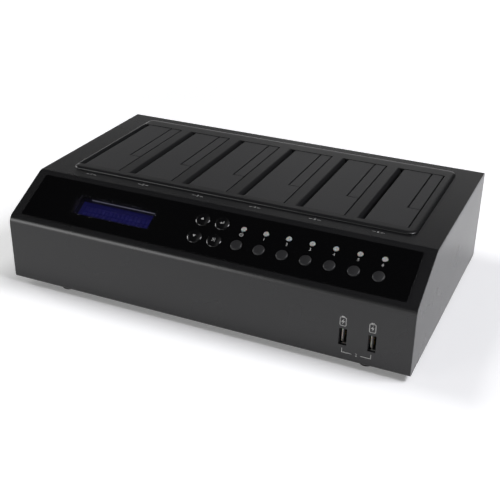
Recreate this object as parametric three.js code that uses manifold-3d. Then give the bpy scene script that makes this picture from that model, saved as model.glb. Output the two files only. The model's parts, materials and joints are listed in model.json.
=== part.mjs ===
// A hard drive duplicator: a low bent-steel box with a sloped control panel and six sprung drive bays.
// Millimetres, +X to the right, +Y to the rear, +Z up. The origin lies under the middle of the box, on the
// surface that its feet stand on.

import * as THREE from 'three';
import { mergeVertices } from 'three/addons/utils/BufferGeometryUtils.js';
import Module from 'manifold-3d';

const wasm = await Module();
wasm.setup();

// Driving dimensions

const clearance = {
  seat: 0.3, // between pieces that rest against each other
  running: 0.3, // round a pin, a button or a lamp lens
};
const overrun = 2; // how far a cutter passes the face that it leaves through

const casing = {
  width: 328,
  depth: 201,
  height: 76.7, // from the underside of the sheet to its top
  frontHeight: 52.6, // up to the sharp line where the front and the slope would meet
  slopeRun: 45.1, // how far back the slope reaches, from sharp line to sharp line
  sheet: 1.2,
  bendRadius: 8, // outside of the bends at the foot and the head of the slope
  rearBendRadius: 3, // outside of the bend at the rear of the top
  lipBendRadius: 2.5, // outside of the bends into the lips
  lipLength: 18.5, // how far the sheet folds in under the box, at the front and the back
};

const foot = {
  radius: 6,
  height: 4.5,
  taper: 0.8, // how much narrower the foot is where it stands
  leftInset: 43.6,
  rightInset: 34.4,
  endInset: 11.2, // from the front and from the back of the casing
};

const base = {
  endGap: 3.8, // between its ends and the front and the back of the sheet
  slotLength: 46,
  slotWidth: 3,
  slotPitch: 9,
  slotCount: 6, // in each of the two rows of cooling slots
  rowSpacing: 120, // between the middles of the two rows
  standoffRadius: 3,
  standoffHeight: 5,
  standoffInset: 8, // from the edges of the main board
};

const bays = {
  count: 6,
  divider: 11.3, // between one opening and the next
  coverThickness: 2,
  recess: 0.2, // of the closed covers below the top of the bay frame
  hingeGap: 3.3, // open slot beside the hinged edge of each cover
  sideSeam: 1.3,
  endSeam: 0.5,
};

const frame = {
  leftMargin: 20.9, // from the left of the casing, and so on round it
  rightMargin: 20.1,
  frontMargin: 59.3,
  rearMargin: 13.55,
  leftBorder: 3.5, // from its own left side to the first opening, and so on round it
  rightBorder: 6.8,
  frontBorder: 7.85,
  rearBorder: 13.6,
  rise: 1.8, // of its top over the casing
  skirtHeight: 0.35, // of the straight part of its outer edge
  shoulder: 3.2, // width of the rounded outer shoulder
  cornerRadius: 6.5,
  ledge: 2.4, // how far its rim laps over the cut-out in the casing
  depth: 7, // from its top to the lower ends of its walls
  roll: 3, // radius of the rolled edge beside each hinge gap
  skin: 2.4, // over the hollow under each divider
  rib: 2, // walls of that hollow
};

const hinge = {
  outset: 1.2, // of the axis beyond the hinged edge of the cover
  depth: 4.2, // of the axis below the top of the cover
  armWidth: 2,
  armReach: 6,
  armInset: 0.6,
  barrelRadius: 1.7,
  pinRadius: 1.3,
  pinDepth: 2.4, // how far the pin reaches into the bay frame
  spigotRadius: 1.05,
  spigotLength: 5,
};

// Parts of the cover's width and length that the small flap takes.
const flapShares = { width: 0.2685, length: 0.678 };

const flap = {
  sideSeam: 1.2,
  frontSeam: 0.6,
  armWidth: 2,
  armReach: 5,
  armInset: 0.6,
  barrelRadius: 1.4,
  pinRadius: 0.8,
  pinLength: 3.2,
  lugRadius: 1.9,
  lugWidth: 3,
  lugReach: 4,
  lugInset: 0.9, // of the rear lug from the rear edge of the cover
};

const spring = {
  wireRadius: 0.2,
  coilRadius: 1.6,
  coilPitch: 0.95,
  turnCount: 3,
  legLength: 5,
  tailLength: 2.2,
};

const guide = {
  wall: 2,
  low: 30, // height of the lower edge above the surface that the box stands on
};

const overlay = {
  sideMargin: 8.6,
  lowMargin: 5.4, // up the slope, from the sharp line at its foot
  highMargin: 4.36, // down the slope, from the sharp line at its head
  thickness: 0.5,
  cornerRadius: 1.5,
};

// Places and sizes across the casing, as parts of its width.
const columnShares = {
  display: 0.1527,
  displayWidth: 0.2003,
  navigation: 0.4732,
  navigationSpacing: 0.0485,
  lamps: 0.5756,
  lampPitch: 0.0542,
};

// Places and sizes up the slope, as parts of the overlay's height.
const rowShares = {
  display: 0.2874,
  displayHeight: 0.3816,
  navigation: 0.335,
  navigationSpacing: 0.3865,
  lamps: 0.704,
  buttons: 0.343,
};

const display = {
  paneLap: 1.3, // how far the pane laps over the cut-out
  bezelWall: 3,
  glassDepth: 6.6, // below the outer face of the sheet
  glassThickness: 2.4,
  boardSideMargin: 7.1, // of the board that carries the glass, past the cut-out
  boardEndMargin: 9.1,
};

const lamp = {
  count: 7,
  radius: 2.1,
  barThickness: 2,
  barHeight: 6,
  barMargin: 4.5,
  sourceSize: 2.4, // of the square light source under each lamp
};

const button = {
  radius: 4.3,
  proud: 1.3, // of the overlay
  rim: 0.7, // radius of the rounded rim
  crown: 0.25, // rise of the middle of the cap over its rim
  travel: 0.8,
  collarWidth: 0.8, // how far the collar under the sheet stands out past the cap
  collarHeight: 0.8,
  collarGap: 0.4, // below the sheet
};

const navigation = {
  radius: 5.6,
  proud: 0.5,
  crown: 1.1,
};

const board = {
  thickness: 1.6,
  margin: 3, // of the port board past the sockets
};

const control = {
  sideMargin: 12.3, // of the board past the middles of the outermost buttons
  endMargin: 2, // of the overlay past the board, up and down the slope
  depth: 7.4, // of the face of the control board below the outer face of the sheet
  switchSize: 6,
  switchHeight: 3,
  plungerRadius: 1.7,
  postRadius: 2.5,
};

const mainBoard = {
  sideInset: 14,
  frontInset: 34,
  rearInset: 3,
};

const heatsink = {
  cableGap: 6, // from the right edge of the ribbon cable
  frontInset: 42, // from the front of the casing
  size: 24,
  baseHeight: 3,
  finHeight: 9,
  finWidth: 1.6,
  finCount: 6,
};

const connector = {
  length: 46,
  width: 7,
  baseHeight: 6,
  postLength: 3.5,
  postHeight: 7,
  bladeWidth: 1.4,
  bladeHeight: 5.5,
  wallInset: 5.6, // from the right wall of the bay to the middle of the connector
  rearInset: 30, // from the rear of the bay to the middle of the connector
};

const usbPort = {
  rightInset: 28.6, // from the right of the casing to the middle of the right port
  spacing: 21.1,
  up: 19.4, // middle of the port, from the underside of the casing
  holeWidth: 5.8,
  holeHeight: 13.2,
  mouthWidth: 5.1,
  mouthHeight: 12.5,
  wall: 0.7,
  depth: 14,
  cavity: 10.5,
  tongueWidth: 1.8,
  tongueHeight: 11,
  tongueLength: 8.5,
  tongueOffset: 0.9, // of the tongue from the middle, to the left
};

const rearPorts = {
  depth: 12,
  wall: 1.5,
  rim: 0.75, // how far the casing's cut-outs pass the mouths
  powerLeft: 40, // middles of the sockets, from the left of the casing as seen from the front
  serialLeft: 70,
  driveLeft: 100,
};

const powerInlet = { size: 9.5, boreRadius: 3.2, pinRadius: 1, pinLength: 6, cavity: 8 };
const serialPort = { width: 8.4, height: 8, cavity: 9, tongueWidth: 5.4, tongueHeight: 2.8, tongueLength: 7 };
const drivePort = { width: 11, height: 4.6, cavity: 8, tongueWidth: 8, tongueHeight: 1.2, tongueLength: 6.5 };

const ribbon = {
  inset: 62, // from the left of the control board
  width: 18,
  thickness: 0.9,
  landing: 48, // where it meets the main board, from the front of the casing
  takeOff: 17, // where it leaves the control board, up the slope
  stepCount: 10, // along its curve
};

const vents = { count: 12, width: 3, height: 22, pitch: 8, rightInset: 62, low: 26 };

// How finely round shapes are cut into facets

const bendFacets = 3;
const frameCornerFacets = 3;
const shoulderFacets = 4;
const capFacets = 16;
const lampFacets = 10;
const pinFacets = 8;
const lugFacets = 12;
const coilFacets = 4;
const coilTurnFacets = 8;
const domeFacets = 4;

// Finishes

const paintedSteel = { color: 0x333334, roughness: 0.55, metalness: 0.35 };
const mouldedBlack = { color: 0x38383a, roughness: 0.6, metalness: 0 };
const mouldedCover = { color: 0x3e3e40, roughness: 0.58, metalness: 0 };
const glossBlack = { color: 0x0a0a0a, roughness: 0.12, metalness: 0 };
const greyCap = { color: 0x4a4a48, roughness: 0.5, metalness: 0 };
const clearPane = { color: 0x1a1a22, roughness: 0.08, metalness: 0 };
const blueDisplay = { color: 0x2a2880, roughness: 0.35, metalness: 0 };
const lampLens = { color: 0xcfcfcd, roughness: 0.3, metalness: 0 };
const greenBoard = { color: 0x1f4a2c, roughness: 0.5, metalness: 0 };
const rubber = { color: 0x161616, roughness: 0.85, metalness: 0 };
const springSteel = { color: 0xb4b4b0, roughness: 0.3, metalness: 1 };
const platedSteel = { color: 0xa8a8a4, roughness: 0.28, metalness: 1 };
const blackSocket = { color: 0x121212, roughness: 0.5, metalness: 0 };
const castAluminium = { color: 0x8e9092, roughness: 0.4, metalness: 1 };
const greyRibbon = { color: 0x77777a, roughness: 0.6, metalness: 0 };

// Places that several pieces share

const casingLeft = -casing.width / 2;
const casingFront = -casing.depth / 2;
const casingRear = casing.depth / 2;
const casingLow = foot.height;
const casingTop = casingLow + casing.height;
const slopeRise = casing.height - casing.frontHeight;
const slopeAngle = Math.atan2(slopeRise, casing.slopeRun);
const slopeLength = Math.hypot(slopeRise, casing.slopeRun);
const floorTop = casingLow + casing.sheet + clearance.seat + casing.sheet;
const mainBoardLow = floorTop + base.standoffHeight + clearance.seat;
const mainBoardTop = mainBoardLow + board.thickness;

const frameTop = casingTop + frame.rise;
const frameLow = frameTop - frame.depth;
const frameLeft = casingLeft + frame.leftMargin;
const frameRight = -casingLeft - frame.rightMargin;
const frameFront = casingFront + frame.frontMargin;
const frameRear = casingRear - frame.rearMargin;
const bayRow = frameRight - frame.rightBorder - frameLeft - frame.leftBorder;
const bayPitch = (bayRow + bays.divider) / bays.count;
const openingWidth = bayPitch - bays.divider;
const openingFront = frameFront + frame.frontBorder;
const openingRear = frameRear - frame.rearBorder;
const openingLength = openingRear - openingFront;
const coverWidth = openingWidth - bays.hingeGap - bays.sideSeam;
const coverLength = openingLength - 2 * bays.endSeam;
const coverTop = frameTop - bays.recess;
const hingeZ = coverTop - hinge.depth;
const coverHalf = coverLength / 2;
const coverMiddleY = openingFront + openingLength / 2;

const overlayLow = clearance.seat;
const overlayTop = overlayLow + overlay.thickness;
const overlayHeight = slopeLength - overlay.lowMargin - overlay.highMargin;
const displayLeft = casingLeft + columnShares.display * casing.width;
const displayWidth = columnShares.displayWidth * casing.width;
const displayLow = rowUp(rowShares.display);
const displayHeight = rowShares.displayHeight * overlayHeight;
const lampUp = rowUp(rowShares.lamps);
const buttonUp = rowUp(rowShares.buttons);
const sheetBack = -casing.sheet;
const controlTop = -control.depth;
const boardSeat = mainBoardTop + clearance.seat;

function openingLeft(bay) {
  return frameLeft + frame.leftBorder + bay * bayPitch;
}

function hingeX(bay) {
  return openingLeft(bay) + bays.hingeGap - hinge.outset;
}

// A place up the slope, from the part of the overlay's height that it lies at.
function rowUp(share) {
  return overlay.lowMargin + share * overlayHeight;
}

// Solids

// A closed geometry as a solid that can be joined and cut.
function solidOf(geometry) {
  const bare = geometry.clone();
  bare.deleteAttribute('normal');
  bare.deleteAttribute('uv');
  const merged = mergeVertices(bare);
  const mesh = new wasm.Mesh({
    numProp: 3,
    vertProperties: Float32Array.from(merged.attributes.position.array),
    triVerts: Uint32Array.from(merged.index.array),
  });
  mesh.merge();
  return new wasm.Manifold(mesh);
}

function geometryOf(solid) {
  const { vertProperties, triVerts } = solid.getMesh();
  const geometry = new THREE.BufferGeometry();
  geometry.setAttribute('position', new THREE.BufferAttribute(vertProperties, 3));
  geometry.setIndex(new THREE.BufferAttribute(triVerts, 1));
  geometry.computeVertexNormals();
  return geometry;
}

// A block between two opposite corners.
function block(low, high) {
  const size = high.map((value, axis) => value - low[axis]);
  const geometry = new THREE.BoxGeometry(...size);
  geometry.translate(...high.map((value, axis) => (value + low[axis]) / 2));
  return solidOf(geometry);
}

// A round bar along Y, or along Z.
function barAlongY(radius, x, z, fromY, toY, sides) {
  const geometry = new THREE.CylinderGeometry(radius, radius, toY - fromY, sides);
  geometry.translate(x, (fromY + toY) / 2, z);
  return solidOf(geometry);
}

function barAlongZ(radius, x, y, fromZ, toZ, sides, topRadius = radius) {
  const geometry = new THREE.CylinderGeometry(topRadius, radius, toZ - fromZ, sides);
  geometry.rotateX(Math.PI / 2);
  geometry.translate(x, y, (fromZ + toZ) / 2);
  return solidOf(geometry);
}

// An outline in X and Y, given thickness between two heights.
function slab(outline, fromZ, toZ, curveSegments = frameCornerFacets) {
  const settings = { depth: toZ - fromZ, bevelEnabled: false, curveSegments };
  return solidOf(new THREE.ExtrudeGeometry(outline, settings).translate(0, 0, fromZ));
}

// Turns an extrusion of a (y, z) outline so that it runs along +X.
const runAlongX = new THREE.Matrix4().makeBasis(
  new THREE.Vector3(0, 1, 0),
  new THREE.Vector3(0, 0, 1),
  new THREE.Vector3(1, 0, 0),
);

function slabAlongX(outline, fromX, toX) {
  const settings = { depth: toX - fromX, bevelEnabled: false, curveSegments: bendFacets };
  const geometry = new THREE.ExtrudeGeometry(outline, settings);
  geometry.applyMatrix4(runAlongX).translate(fromX, 0, 0);
  return solidOf(geometry);
}

function turned(profile, sides) {
  const geometry = new THREE.LatheGeometry(profile.map(([r, z]) => new THREE.Vector2(r, z)), sides);
  return solidOf(geometry.rotateX(Math.PI / 2));
}

function roundedRectangle(left, low, right, high, radius) {
  const outline = new THREE.Shape();
  outline.moveTo(left + radius, low);
  outline.absarc(right - radius, low + radius, radius, -Math.PI / 2, 0, false);
  outline.absarc(right - radius, high - radius, radius, 0, Math.PI / 2, false);
  outline.absarc(left + radius, high - radius, radius, Math.PI / 2, Math.PI, false);
  outline.absarc(left + radius, low + radius, radius, Math.PI, Math.PI * 3 / 2, false);
  return outline;
}

function polygonCorners(x, y, radius, sides) {
  return Array.from({ length: sides }, (_, side) => {
    const angle = 2 * Math.PI * side / sides;
    return new THREE.Vector2(x + radius * Math.cos(angle), y + radius * Math.sin(angle));
  });
}

function rectangle(left, low, right, high) {
  const path = new THREE.Path();
  path.moveTo(left, low);
  path.lineTo(right, low);
  path.lineTo(right, high);
  path.lineTo(left, high);
  return path;
}

function place(parent, name, solid, finish, position = [0, 0, 0]) {
  const mesh = new THREE.Mesh(geometryOf(solid), new THREE.MeshStandardMaterial(finish));
  mesh.name = name;
  mesh.position.set(...position);
  parent.add(mesh);
}

const duplicator = new THREE.Group();

// The control panel's own frame: X to the right, Y up the slope, Z out of the sheet. Its origin lies on
// the sharp line where the front and the slope would meet.
const panel = new THREE.Group();
panel.position.set(0, casingFront, casingLow + casing.frontHeight);
panel.rotation.x = slopeAngle;
panel.updateMatrix();
duplicator.add(panel);

function lampX(index) {
  return casingLeft + (columnShares.lamps + index * columnShares.lampPitch) * casing.width;
}

// Columns from left to right in each row, the upper row first.
const navigationPlaces = [1, 0].flatMap((row) => [0, 1].map((column) => [
  casingLeft + (columnShares.navigation + column * columnShares.navigationSpacing) * casing.width,
  rowUp(rowShares.navigation + row * rowShares.navigationSpacing),
]));

// Every round hole in the panel, as x, y, radius and number of sides.
function panelHoles() {
  const holes = [];
  for (let index = 0; index < lamp.count; index += 1) {
    holes.push([lampX(index), lampUp, lamp.radius + clearance.running, lampFacets]);
    holes.push([lampX(index), buttonUp, button.radius + clearance.running, capFacets]);
  }
  for (const [x, y] of navigationPlaces) {
    holes.push([x, y, navigation.radius + clearance.running, capFacets]);
  }
  return holes;
}

// The casing

// Where the casing's sheet bends, seen from the left as (y, z). The outline runs clockwise, so each bend's
// centre lies to the right of the way that the sheet arrives.
const sheetCorners = [
  [casingFront + casing.lipLength, casingLow],
  [casingFront, casingLow],
  [casingFront, casingLow + casing.frontHeight],
  [casingFront + casing.slopeRun, casingTop],
  [casingRear, casingTop],
  [casingRear, casingLow],
  [casingRear - casing.lipLength, casingLow],
].map(([y, z]) => new THREE.Vector2(y, z));

function bendAt(before, corner, after, radius) {
  const arriving = corner.clone().sub(before).normalize();
  const leaving = after.clone().sub(corner).normalize();
  const turn = Math.acos(arriving.dot(leaving));
  const setback = radius * Math.tan(turn / 2);
  const inward = new THREE.Vector2(arriving.y, -arriving.x);
  const centre = corner.clone().addScaledVector(arriving, -setback).addScaledVector(inward, radius);
  const start = Math.atan2(-inward.y, -inward.x);
  return { centre, radius, start, end: start - turn };
}

// The outside radius of each bend, in the order of the corners.
const bendRadii = [
  casing.lipBendRadius,
  casing.bendRadius,
  casing.bendRadius,
  casing.rearBendRadius,
  casing.lipBendRadius,
];

const sheetBends = bendRadii.map((radius, index) => (
  bendAt(sheetCorners[index], sheetCorners[index + 1], sheetCorners[index + 2], radius)
));

function sheetOutline() {
  const first = sheetCorners[0];
  const last = sheetCorners[sheetCorners.length - 1];
  const outline = new THREE.Shape();
  outline.moveTo(first.x, first.y);
  for (const { centre, radius, start, end } of sheetBends) {
    outline.absarc(centre.x, centre.y, radius, start, end, true);
  }
  outline.lineTo(last.x, last.y);
  outline.lineTo(last.x, last.y + casing.sheet);
  for (const { centre, radius, start, end } of [...sheetBends].reverse()) {
    outline.absarc(centre.x, centre.y, radius - casing.sheet, end, start, false);
  }
  outline.lineTo(first.x, first.y + casing.sheet);
  return outline;
}

// A cutter that stands across the slope, given in the control panel's own frame.
function panelCutter(geometry) {
  return solidOf(geometry.applyMatrix4(panel.matrix));
}

function displayCutter() {
  const depth = casing.sheet + 2 * overrun;
  const geometry = new THREE.BoxGeometry(displayWidth, displayHeight, depth);
  const x = displayLeft + displayWidth / 2;
  return panelCutter(geometry.translate(x, displayLow + displayHeight / 2, 0));
}

function usbPortX(index) {
  return -casingLeft - usbPort.rightInset - (1 - index) * usbPort.spacing;
}

// A socket in the back, by its middle: it stands on the main board and shows through a cut-out.
function rearPlace(left, outerHeight) {
  return [casingLeft + left, boardSeat + outerHeight / 2];
}

const powerPlace = rearPlace(rearPorts.powerLeft, powerInlet.size);
const serialPlace = rearPlace(rearPorts.serialLeft, serialPort.height + 2 * rearPorts.wall);
const drivePlace = rearPlace(rearPorts.driveLeft, drivePort.height + 2 * rearPorts.wall);

// Cuts a block-shaped hole through the back sheet.
function backCutter([x, z], width, height) {
  return block(
    [x - width / 2, casingRear - casing.sheet - overrun, z - height / 2],
    [x + width / 2, casingRear + overrun, z + height / 2],
  );
}

function topCover() {
  let cover = slabAlongX(sheetOutline(), casingLeft, -casingLeft);
  cover = cover.subtract(block(
    [frameLeft + frame.ledge, frameFront + frame.ledge, casingTop - casing.sheet - overrun],
    [frameRight - frame.ledge, frameRear - frame.ledge, casingTop + overrun],
  ));
  cover = cover.subtract(displayCutter());
  for (const [x, y, radius, sides] of panelHoles()) {
    const geometry = new THREE.CylinderGeometry(radius, radius, casing.sheet + 2 * overrun, sides);
    cover = cover.subtract(panelCutter(geometry.rotateX(Math.PI / 2).translate(x, y, 0)));
  }
  for (const index of [0, 1]) {
    const x = usbPortX(index);
    const z = casingLow + usbPort.up;
    cover = cover.subtract(block(
      [x - usbPort.holeWidth / 2, casingFront - overrun, z - usbPort.holeHeight / 2],
      [x + usbPort.holeWidth / 2, casingFront + casing.sheet + overrun, z + usbPort.holeHeight / 2],
    ));
  }
  const powerSize = 2 * (powerInlet.boreRadius + rearPorts.rim);
  cover = cover.subtract(backCutter(powerPlace, powerSize, powerSize));
  for (const [place, { width, height }] of [[serialPlace, serialPort], [drivePlace, drivePort]]) {
    cover = cover.subtract(backCutter(place, width + 2 * rearPorts.rim, height + 2 * rearPorts.rim));
  }
  for (let index = 0; index < vents.count; index += 1) {
    const x = -casingLeft - vents.rightInset - index * vents.pitch;
    const middle = [x, casingLow + vents.low + vents.height / 2];
    cover = cover.subtract(backCutter(middle, vents.width, vents.height));
  }
  return cover;
}

// A flat plate that closes one end of the bent sheet. It drops to the underside of the box between the
// two lips.
function sidePanel() {
  const outline = new THREE.Shape();
  for (const { centre, radius, start, end } of sheetBends) {
    outline.absarc(centre.x, centre.y, radius - casing.sheet - clearance.seat, start, end, true);
  }
  const inset = casing.lipLength + clearance.seat;
  const skirt = block(
    [0, casingFront + inset, casingLow],
    [casing.sheet, casingRear - inset, casingLow + casing.lipBendRadius],
  );
  return slabAlongX(outline, 0, casing.sheet).add(skirt);
}

// The floor of the box lies on the two lips and carries the main board on stand-offs.
function basePlate() {
  const side = casing.width / 2 - casing.sheet - clearance.seat;
  const inset = casing.sheet + base.endGap;
  const front = casingFront + inset;
  const rear = casingRear - inset;
  let plate = block([-side, front, floorTop - casing.sheet], [side, rear, floorTop]);
  for (const row of [-1, 1]) {
    for (let index = 0; index < base.slotCount; index += 1) {
      const x = row * base.rowSpacing / 2;
      const y = (index - (base.slotCount - 1) / 2) * base.slotPitch;
      plate = plate.subtract(block(
        [x - base.slotLength / 2, y - base.slotWidth / 2, floorTop - casing.sheet - overrun],
        [x + base.slotLength / 2, y + base.slotWidth / 2, floorTop + overrun],
      ));
    }
  }
  const boardSide = casing.width / 2 - mainBoard.sideInset - base.standoffInset;
  const standoffFront = casingFront + mainBoard.frontInset + base.standoffInset;
  const standoffRear = casingRear - mainBoard.rearInset - base.standoffInset;
  for (const x of [-boardSide, 0, boardSide]) {
    for (const y of [standoffFront, standoffRear]) {
      const foot = floorTop - casing.sheet / 2;
      plate = plate.add(barAlongZ(base.standoffRadius, x, y, foot, floorTop + base.standoffHeight, pinFacets));
    }
  }
  return plate;
}

function rubberFoot() {
  const narrow = foot.radius - foot.taper;
  return barAlongZ(narrow, 0, 0, 0, foot.height - clearance.seat, capFacets, foot.radius);
}

place(duplicator, 'top_cover', topCover(), paintedSteel);
place(duplicator, 'left_side_panel', sidePanel(), paintedSteel, [casingLeft, 0, 0]);
place(duplicator, 'right_side_panel', sidePanel(), paintedSteel, [-casingLeft - casing.sheet, 0, 0]);
place(duplicator, 'base_plate', basePlate(), paintedSteel);

const footPlaces = [
  ['foot_front_left', casingLeft + foot.leftInset, casingFront + foot.endInset],
  ['foot_front_right', -casingLeft - foot.rightInset, casingFront + foot.endInset],
  ['foot_rear_left', casingLeft + foot.leftInset, casingRear - foot.endInset],
  ['foot_rear_right', -casingLeft - foot.rightInset, casingRear - foot.endInset],
];
for (const [name, x, y] of footPlaces) place(duplicator, name, rubberFoot(), rubber, [x, y, 0]);

// The bay frame

// The outline of the waste beside a rolled edge: the square corner that the roll takes off, as (x, z)
// from the top of the wall beside the hinge gap.
function rollOutline() {
  const outline = new THREE.Shape();
  outline.moveTo(-frame.roll, overrun);
  outline.absarc(-frame.roll, -frame.roll, frame.roll, Math.PI / 2, 0, true);
  outline.lineTo(overrun, -frame.roll);
  outline.lineTo(overrun, overrun);
  return outline;
}

function rollCutter(bay) {
  const settings = { depth: openingLength, bevelEnabled: false, curveSegments: shoulderFacets };
  const geometry = new THREE.ExtrudeGeometry(rollOutline(), settings);
  geometry.rotateX(Math.PI / 2).translate(openingLeft(bay), openingRear, frameTop);
  return solidOf(geometry);
}

// The rim that shows: a plate with rounded corners and an elliptical shoulder all round.
function frameRim() {
  const low = casingTop + clearance.seat;
  const shoulderHeight = frameTop - low - frame.skirtHeight;
  const outline = roundedRectangle(
    frameLeft + frame.shoulder,
    frameFront + frame.shoulder,
    frameRight - frame.shoulder,
    frameRear - frame.shoulder,
    frame.cornerRadius - frame.shoulder,
  );
  const rim = solidOf(new THREE.ExtrudeGeometry(outline, {
    depth: frame.skirtHeight,
    bevelThickness: shoulderHeight,
    bevelSize: frame.shoulder,
    bevelSegments: shoulderFacets,
    curveSegments: frameCornerFacets,
  }).translate(0, 0, low));
  return rim.subtract(block(
    [frameLeft - overrun, frameFront - overrun, low - shoulderHeight - overrun],
    [frameRight + overrun, frameRear + overrun, low],
  ));
}

function bayFrame() {
  const plugInset = frame.ledge + clearance.seat;
  const plugTop = casingTop + clearance.seat + frame.skirtHeight;
  let solid = frameRim().add(block(
    [frameLeft + plugInset, frameFront + plugInset, frameLow],
    [frameRight - plugInset, frameRear - plugInset, plugTop],
  ));
  for (let bay = 0; bay < bays.count; bay += 1) {
    const left = openingLeft(bay);
    const right = left + openingWidth;
    solid = solid.subtract(block(
      [left, openingFront, frameLow - overrun],
      [right, openingRear, frameTop + overrun],
    ));
    solid = solid.subtract(rollCutter(bay));
    solid = solid.subtract(barAlongY(
      hinge.pinRadius + clearance.running,
      hingeX(bay),
      hingeZ,
      openingFront - hinge.pinDepth - clearance.running,
      openingRear + hinge.pinDepth + clearance.running,
      pinFacets,
    ));
    if (bay === bays.count - 1) continue;
    solid = solid.subtract(block(
      [right + frame.rib, openingFront, frameLow - overrun],
      [left + bayPitch - frame.rib, openingRear, frameTop - frame.skin],
    ));
  }
  return solid;
}

// The walls under the bay frame that keep each drive upright. A wall stands beside the free edge of each
// bay cover, and one more to the left of the first bay.
function driveGuide() {
  const top = frameLow - clearance.seat;
  const front = openingFront - clearance.seat;
  const rear = openingRear + clearance.seat;
  const wallX = (index) => openingLeft(index) - bayPitch + openingWidth + clearance.seat;
  let solid = block(
    [wallX(0), front - guide.wall, guide.low],
    [wallX(bays.count) + guide.wall, rear + guide.wall, top],
  );
  for (let bay = 0; bay < bays.count; bay += 1) {
    solid = solid.subtract(block(
      [wallX(bay) + guide.wall, front, guide.low - overrun],
      [wallX(bay + 1), rear, top + overrun],
    ));
  }
  return solid;
}

place(duplicator, 'bay_frame', bayFrame(), mouldedBlack);
place(duplicator, 'drive_guide', driveGuide(), mouldedBlack);

// The bay covers, their flaps and their springs. Each is built about its own hinge axis: X to the right
// of the axis, Y from the middle of the cover, Z up from the axis.

const coverLeft = hinge.outset;
const coverRight = coverLeft + coverWidth;
const plateTop = hinge.depth;
const plateLow = plateTop - bays.coverThickness;
const flapWidth = flapShares.width * coverWidth;
const flapLeft = coverRight - flapWidth;
const flapAxisX = flapLeft - flap.sideSeam / 2;
const flapFront = coverHalf - flapShares.length * coverLength;
const notchLeft = flapLeft - flap.sideSeam;
const notchFront = flapFront - flap.frontSeam;

function coverOutline() {
  const outline = new THREE.Shape();
  outline.moveTo(coverLeft, -coverHalf);
  outline.lineTo(coverRight, -coverHalf);
  outline.lineTo(coverRight, notchFront);
  outline.lineTo(notchLeft, notchFront);
  outline.lineTo(notchLeft, coverHalf);
  outline.lineTo(coverLeft, coverHalf);
  return outline;
}

// An arm under a plate, with a round barrel about the axis at x.
function arm(x, reach, radius, fromY, toY, sides) {
  return block([x, fromY, 0], [x + reach, toY, plateLow + bays.coverThickness / 2])
    .add(barAlongY(radius, x, 0, fromY, toY, sides));
}

// A lug under the cover that carries one pin of the small flap.
function flapLug(fromY, toY) {
  const top = plateLow + bays.coverThickness / 2;
  const holeRadius = flap.pinRadius + clearance.running;
  return block([flapAxisX - flap.lugReach, fromY, 0], [notchLeft, toY, top])
    .add(barAlongY(flap.lugRadius, flapAxisX, 0, fromY, toY, lugFacets))
    .subtract(barAlongY(holeRadius, flapAxisX, 0, fromY - overrun, toY + overrun, pinFacets));
}

const armOuter = coverHalf - hinge.armInset;
const armInner = armOuter - hinge.armWidth;
const frontLugRear = notchFront - clearance.running;
const frontLugFront = frontLugRear - flap.lugWidth;
const rearLugRear = coverHalf - flap.lugInset;
const rearLugFront = rearLugRear - flap.lugWidth;

function bayCover() {
  const pinEnd = coverHalf + bays.endSeam + hinge.pinDepth;
  let solid = slab(coverOutline(), plateLow, plateTop);
  for (const [fromY, toY] of [[-armOuter, -armInner], [armInner, armOuter]]) {
    solid = solid.add(arm(0, hinge.armReach, hinge.barrelRadius, fromY, toY, lugFacets));
  }
  for (const [fromY, toY] of [[-pinEnd, -armInner], [armInner, pinEnd]]) {
    solid = solid.add(barAlongY(hinge.pinRadius, 0, 0, fromY, toY, pinFacets));
  }
  const spigotFront = armInner - hinge.spigotLength;
  solid = solid.add(barAlongY(hinge.spigotRadius, 0, 0, spigotFront, armOuter, pinFacets));
  return solid.add(flapLug(frontLugFront, frontLugRear)).add(flapLug(rearLugFront, rearLugRear));
}

// The flap is built about its own axis, which lies under the seam between it and the cover.
function smallFlap() {
  const left = flapLeft - flapAxisX;
  let solid = block([left, flapFront, plateLow], [left + flapWidth, coverHalf, plateTop]);
  const frontArmFront = flapFront + flap.armInset;
  const frontArmRear = frontArmFront + flap.armWidth;
  const rearArmRear = rearLugFront - flap.armInset;
  const rearArmFront = rearArmRear - flap.armWidth;
  for (const [fromY, toY] of [[frontArmFront, frontArmRear], [rearArmFront, rearArmRear]]) {
    solid = solid.add(arm(0, flap.armReach, flap.barrelRadius, fromY, toY, lugFacets));
  }
  const frontPinEnd = frontArmFront - flap.pinLength;
  const rearPinEnd = rearArmRear + flap.pinLength;
  for (const [fromY, toY] of [[frontPinEnd, frontArmRear], [rearArmFront, rearPinEnd]]) {
    solid = solid.add(barAlongY(flap.pinRadius, 0, 0, fromY, toY, pinFacets));
  }
  return solid;
}

// A torsion spring's wire: a straight leg under the cover, a coil about the hinge axis, and a tail that
// presses on the bay frame.
class SpringWire extends THREE.Curve {
  constructor(startY) {
    super();
    this.startY = startY;
    this.coilLength = spring.turnCount * Math.hypot(2 * Math.PI * spring.coilRadius, spring.coilPitch);
    this.total = spring.legLength + this.coilLength + spring.tailLength;
  }

  getPoint(t, target = new THREE.Vector3()) {
    const along = t * this.total;
    const afterLeg = along - spring.legLength;
    const turns = THREE.MathUtils.clamp(afterLeg / this.coilLength, 0, 1) * (spring.turnCount + 1 / 4);
    const angle = Math.PI / 2 + 2 * Math.PI * turns;
    const y = this.startY - turns * spring.coilPitch;
    const x = spring.coilRadius * Math.cos(angle);
    const z = spring.coilRadius * Math.sin(angle);
    const leg = Math.max(-afterLeg, 0);
    const tail = Math.max(afterLeg - this.coilLength, 0);
    return target.set(x + leg, y, z - tail);
  }
}

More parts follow.
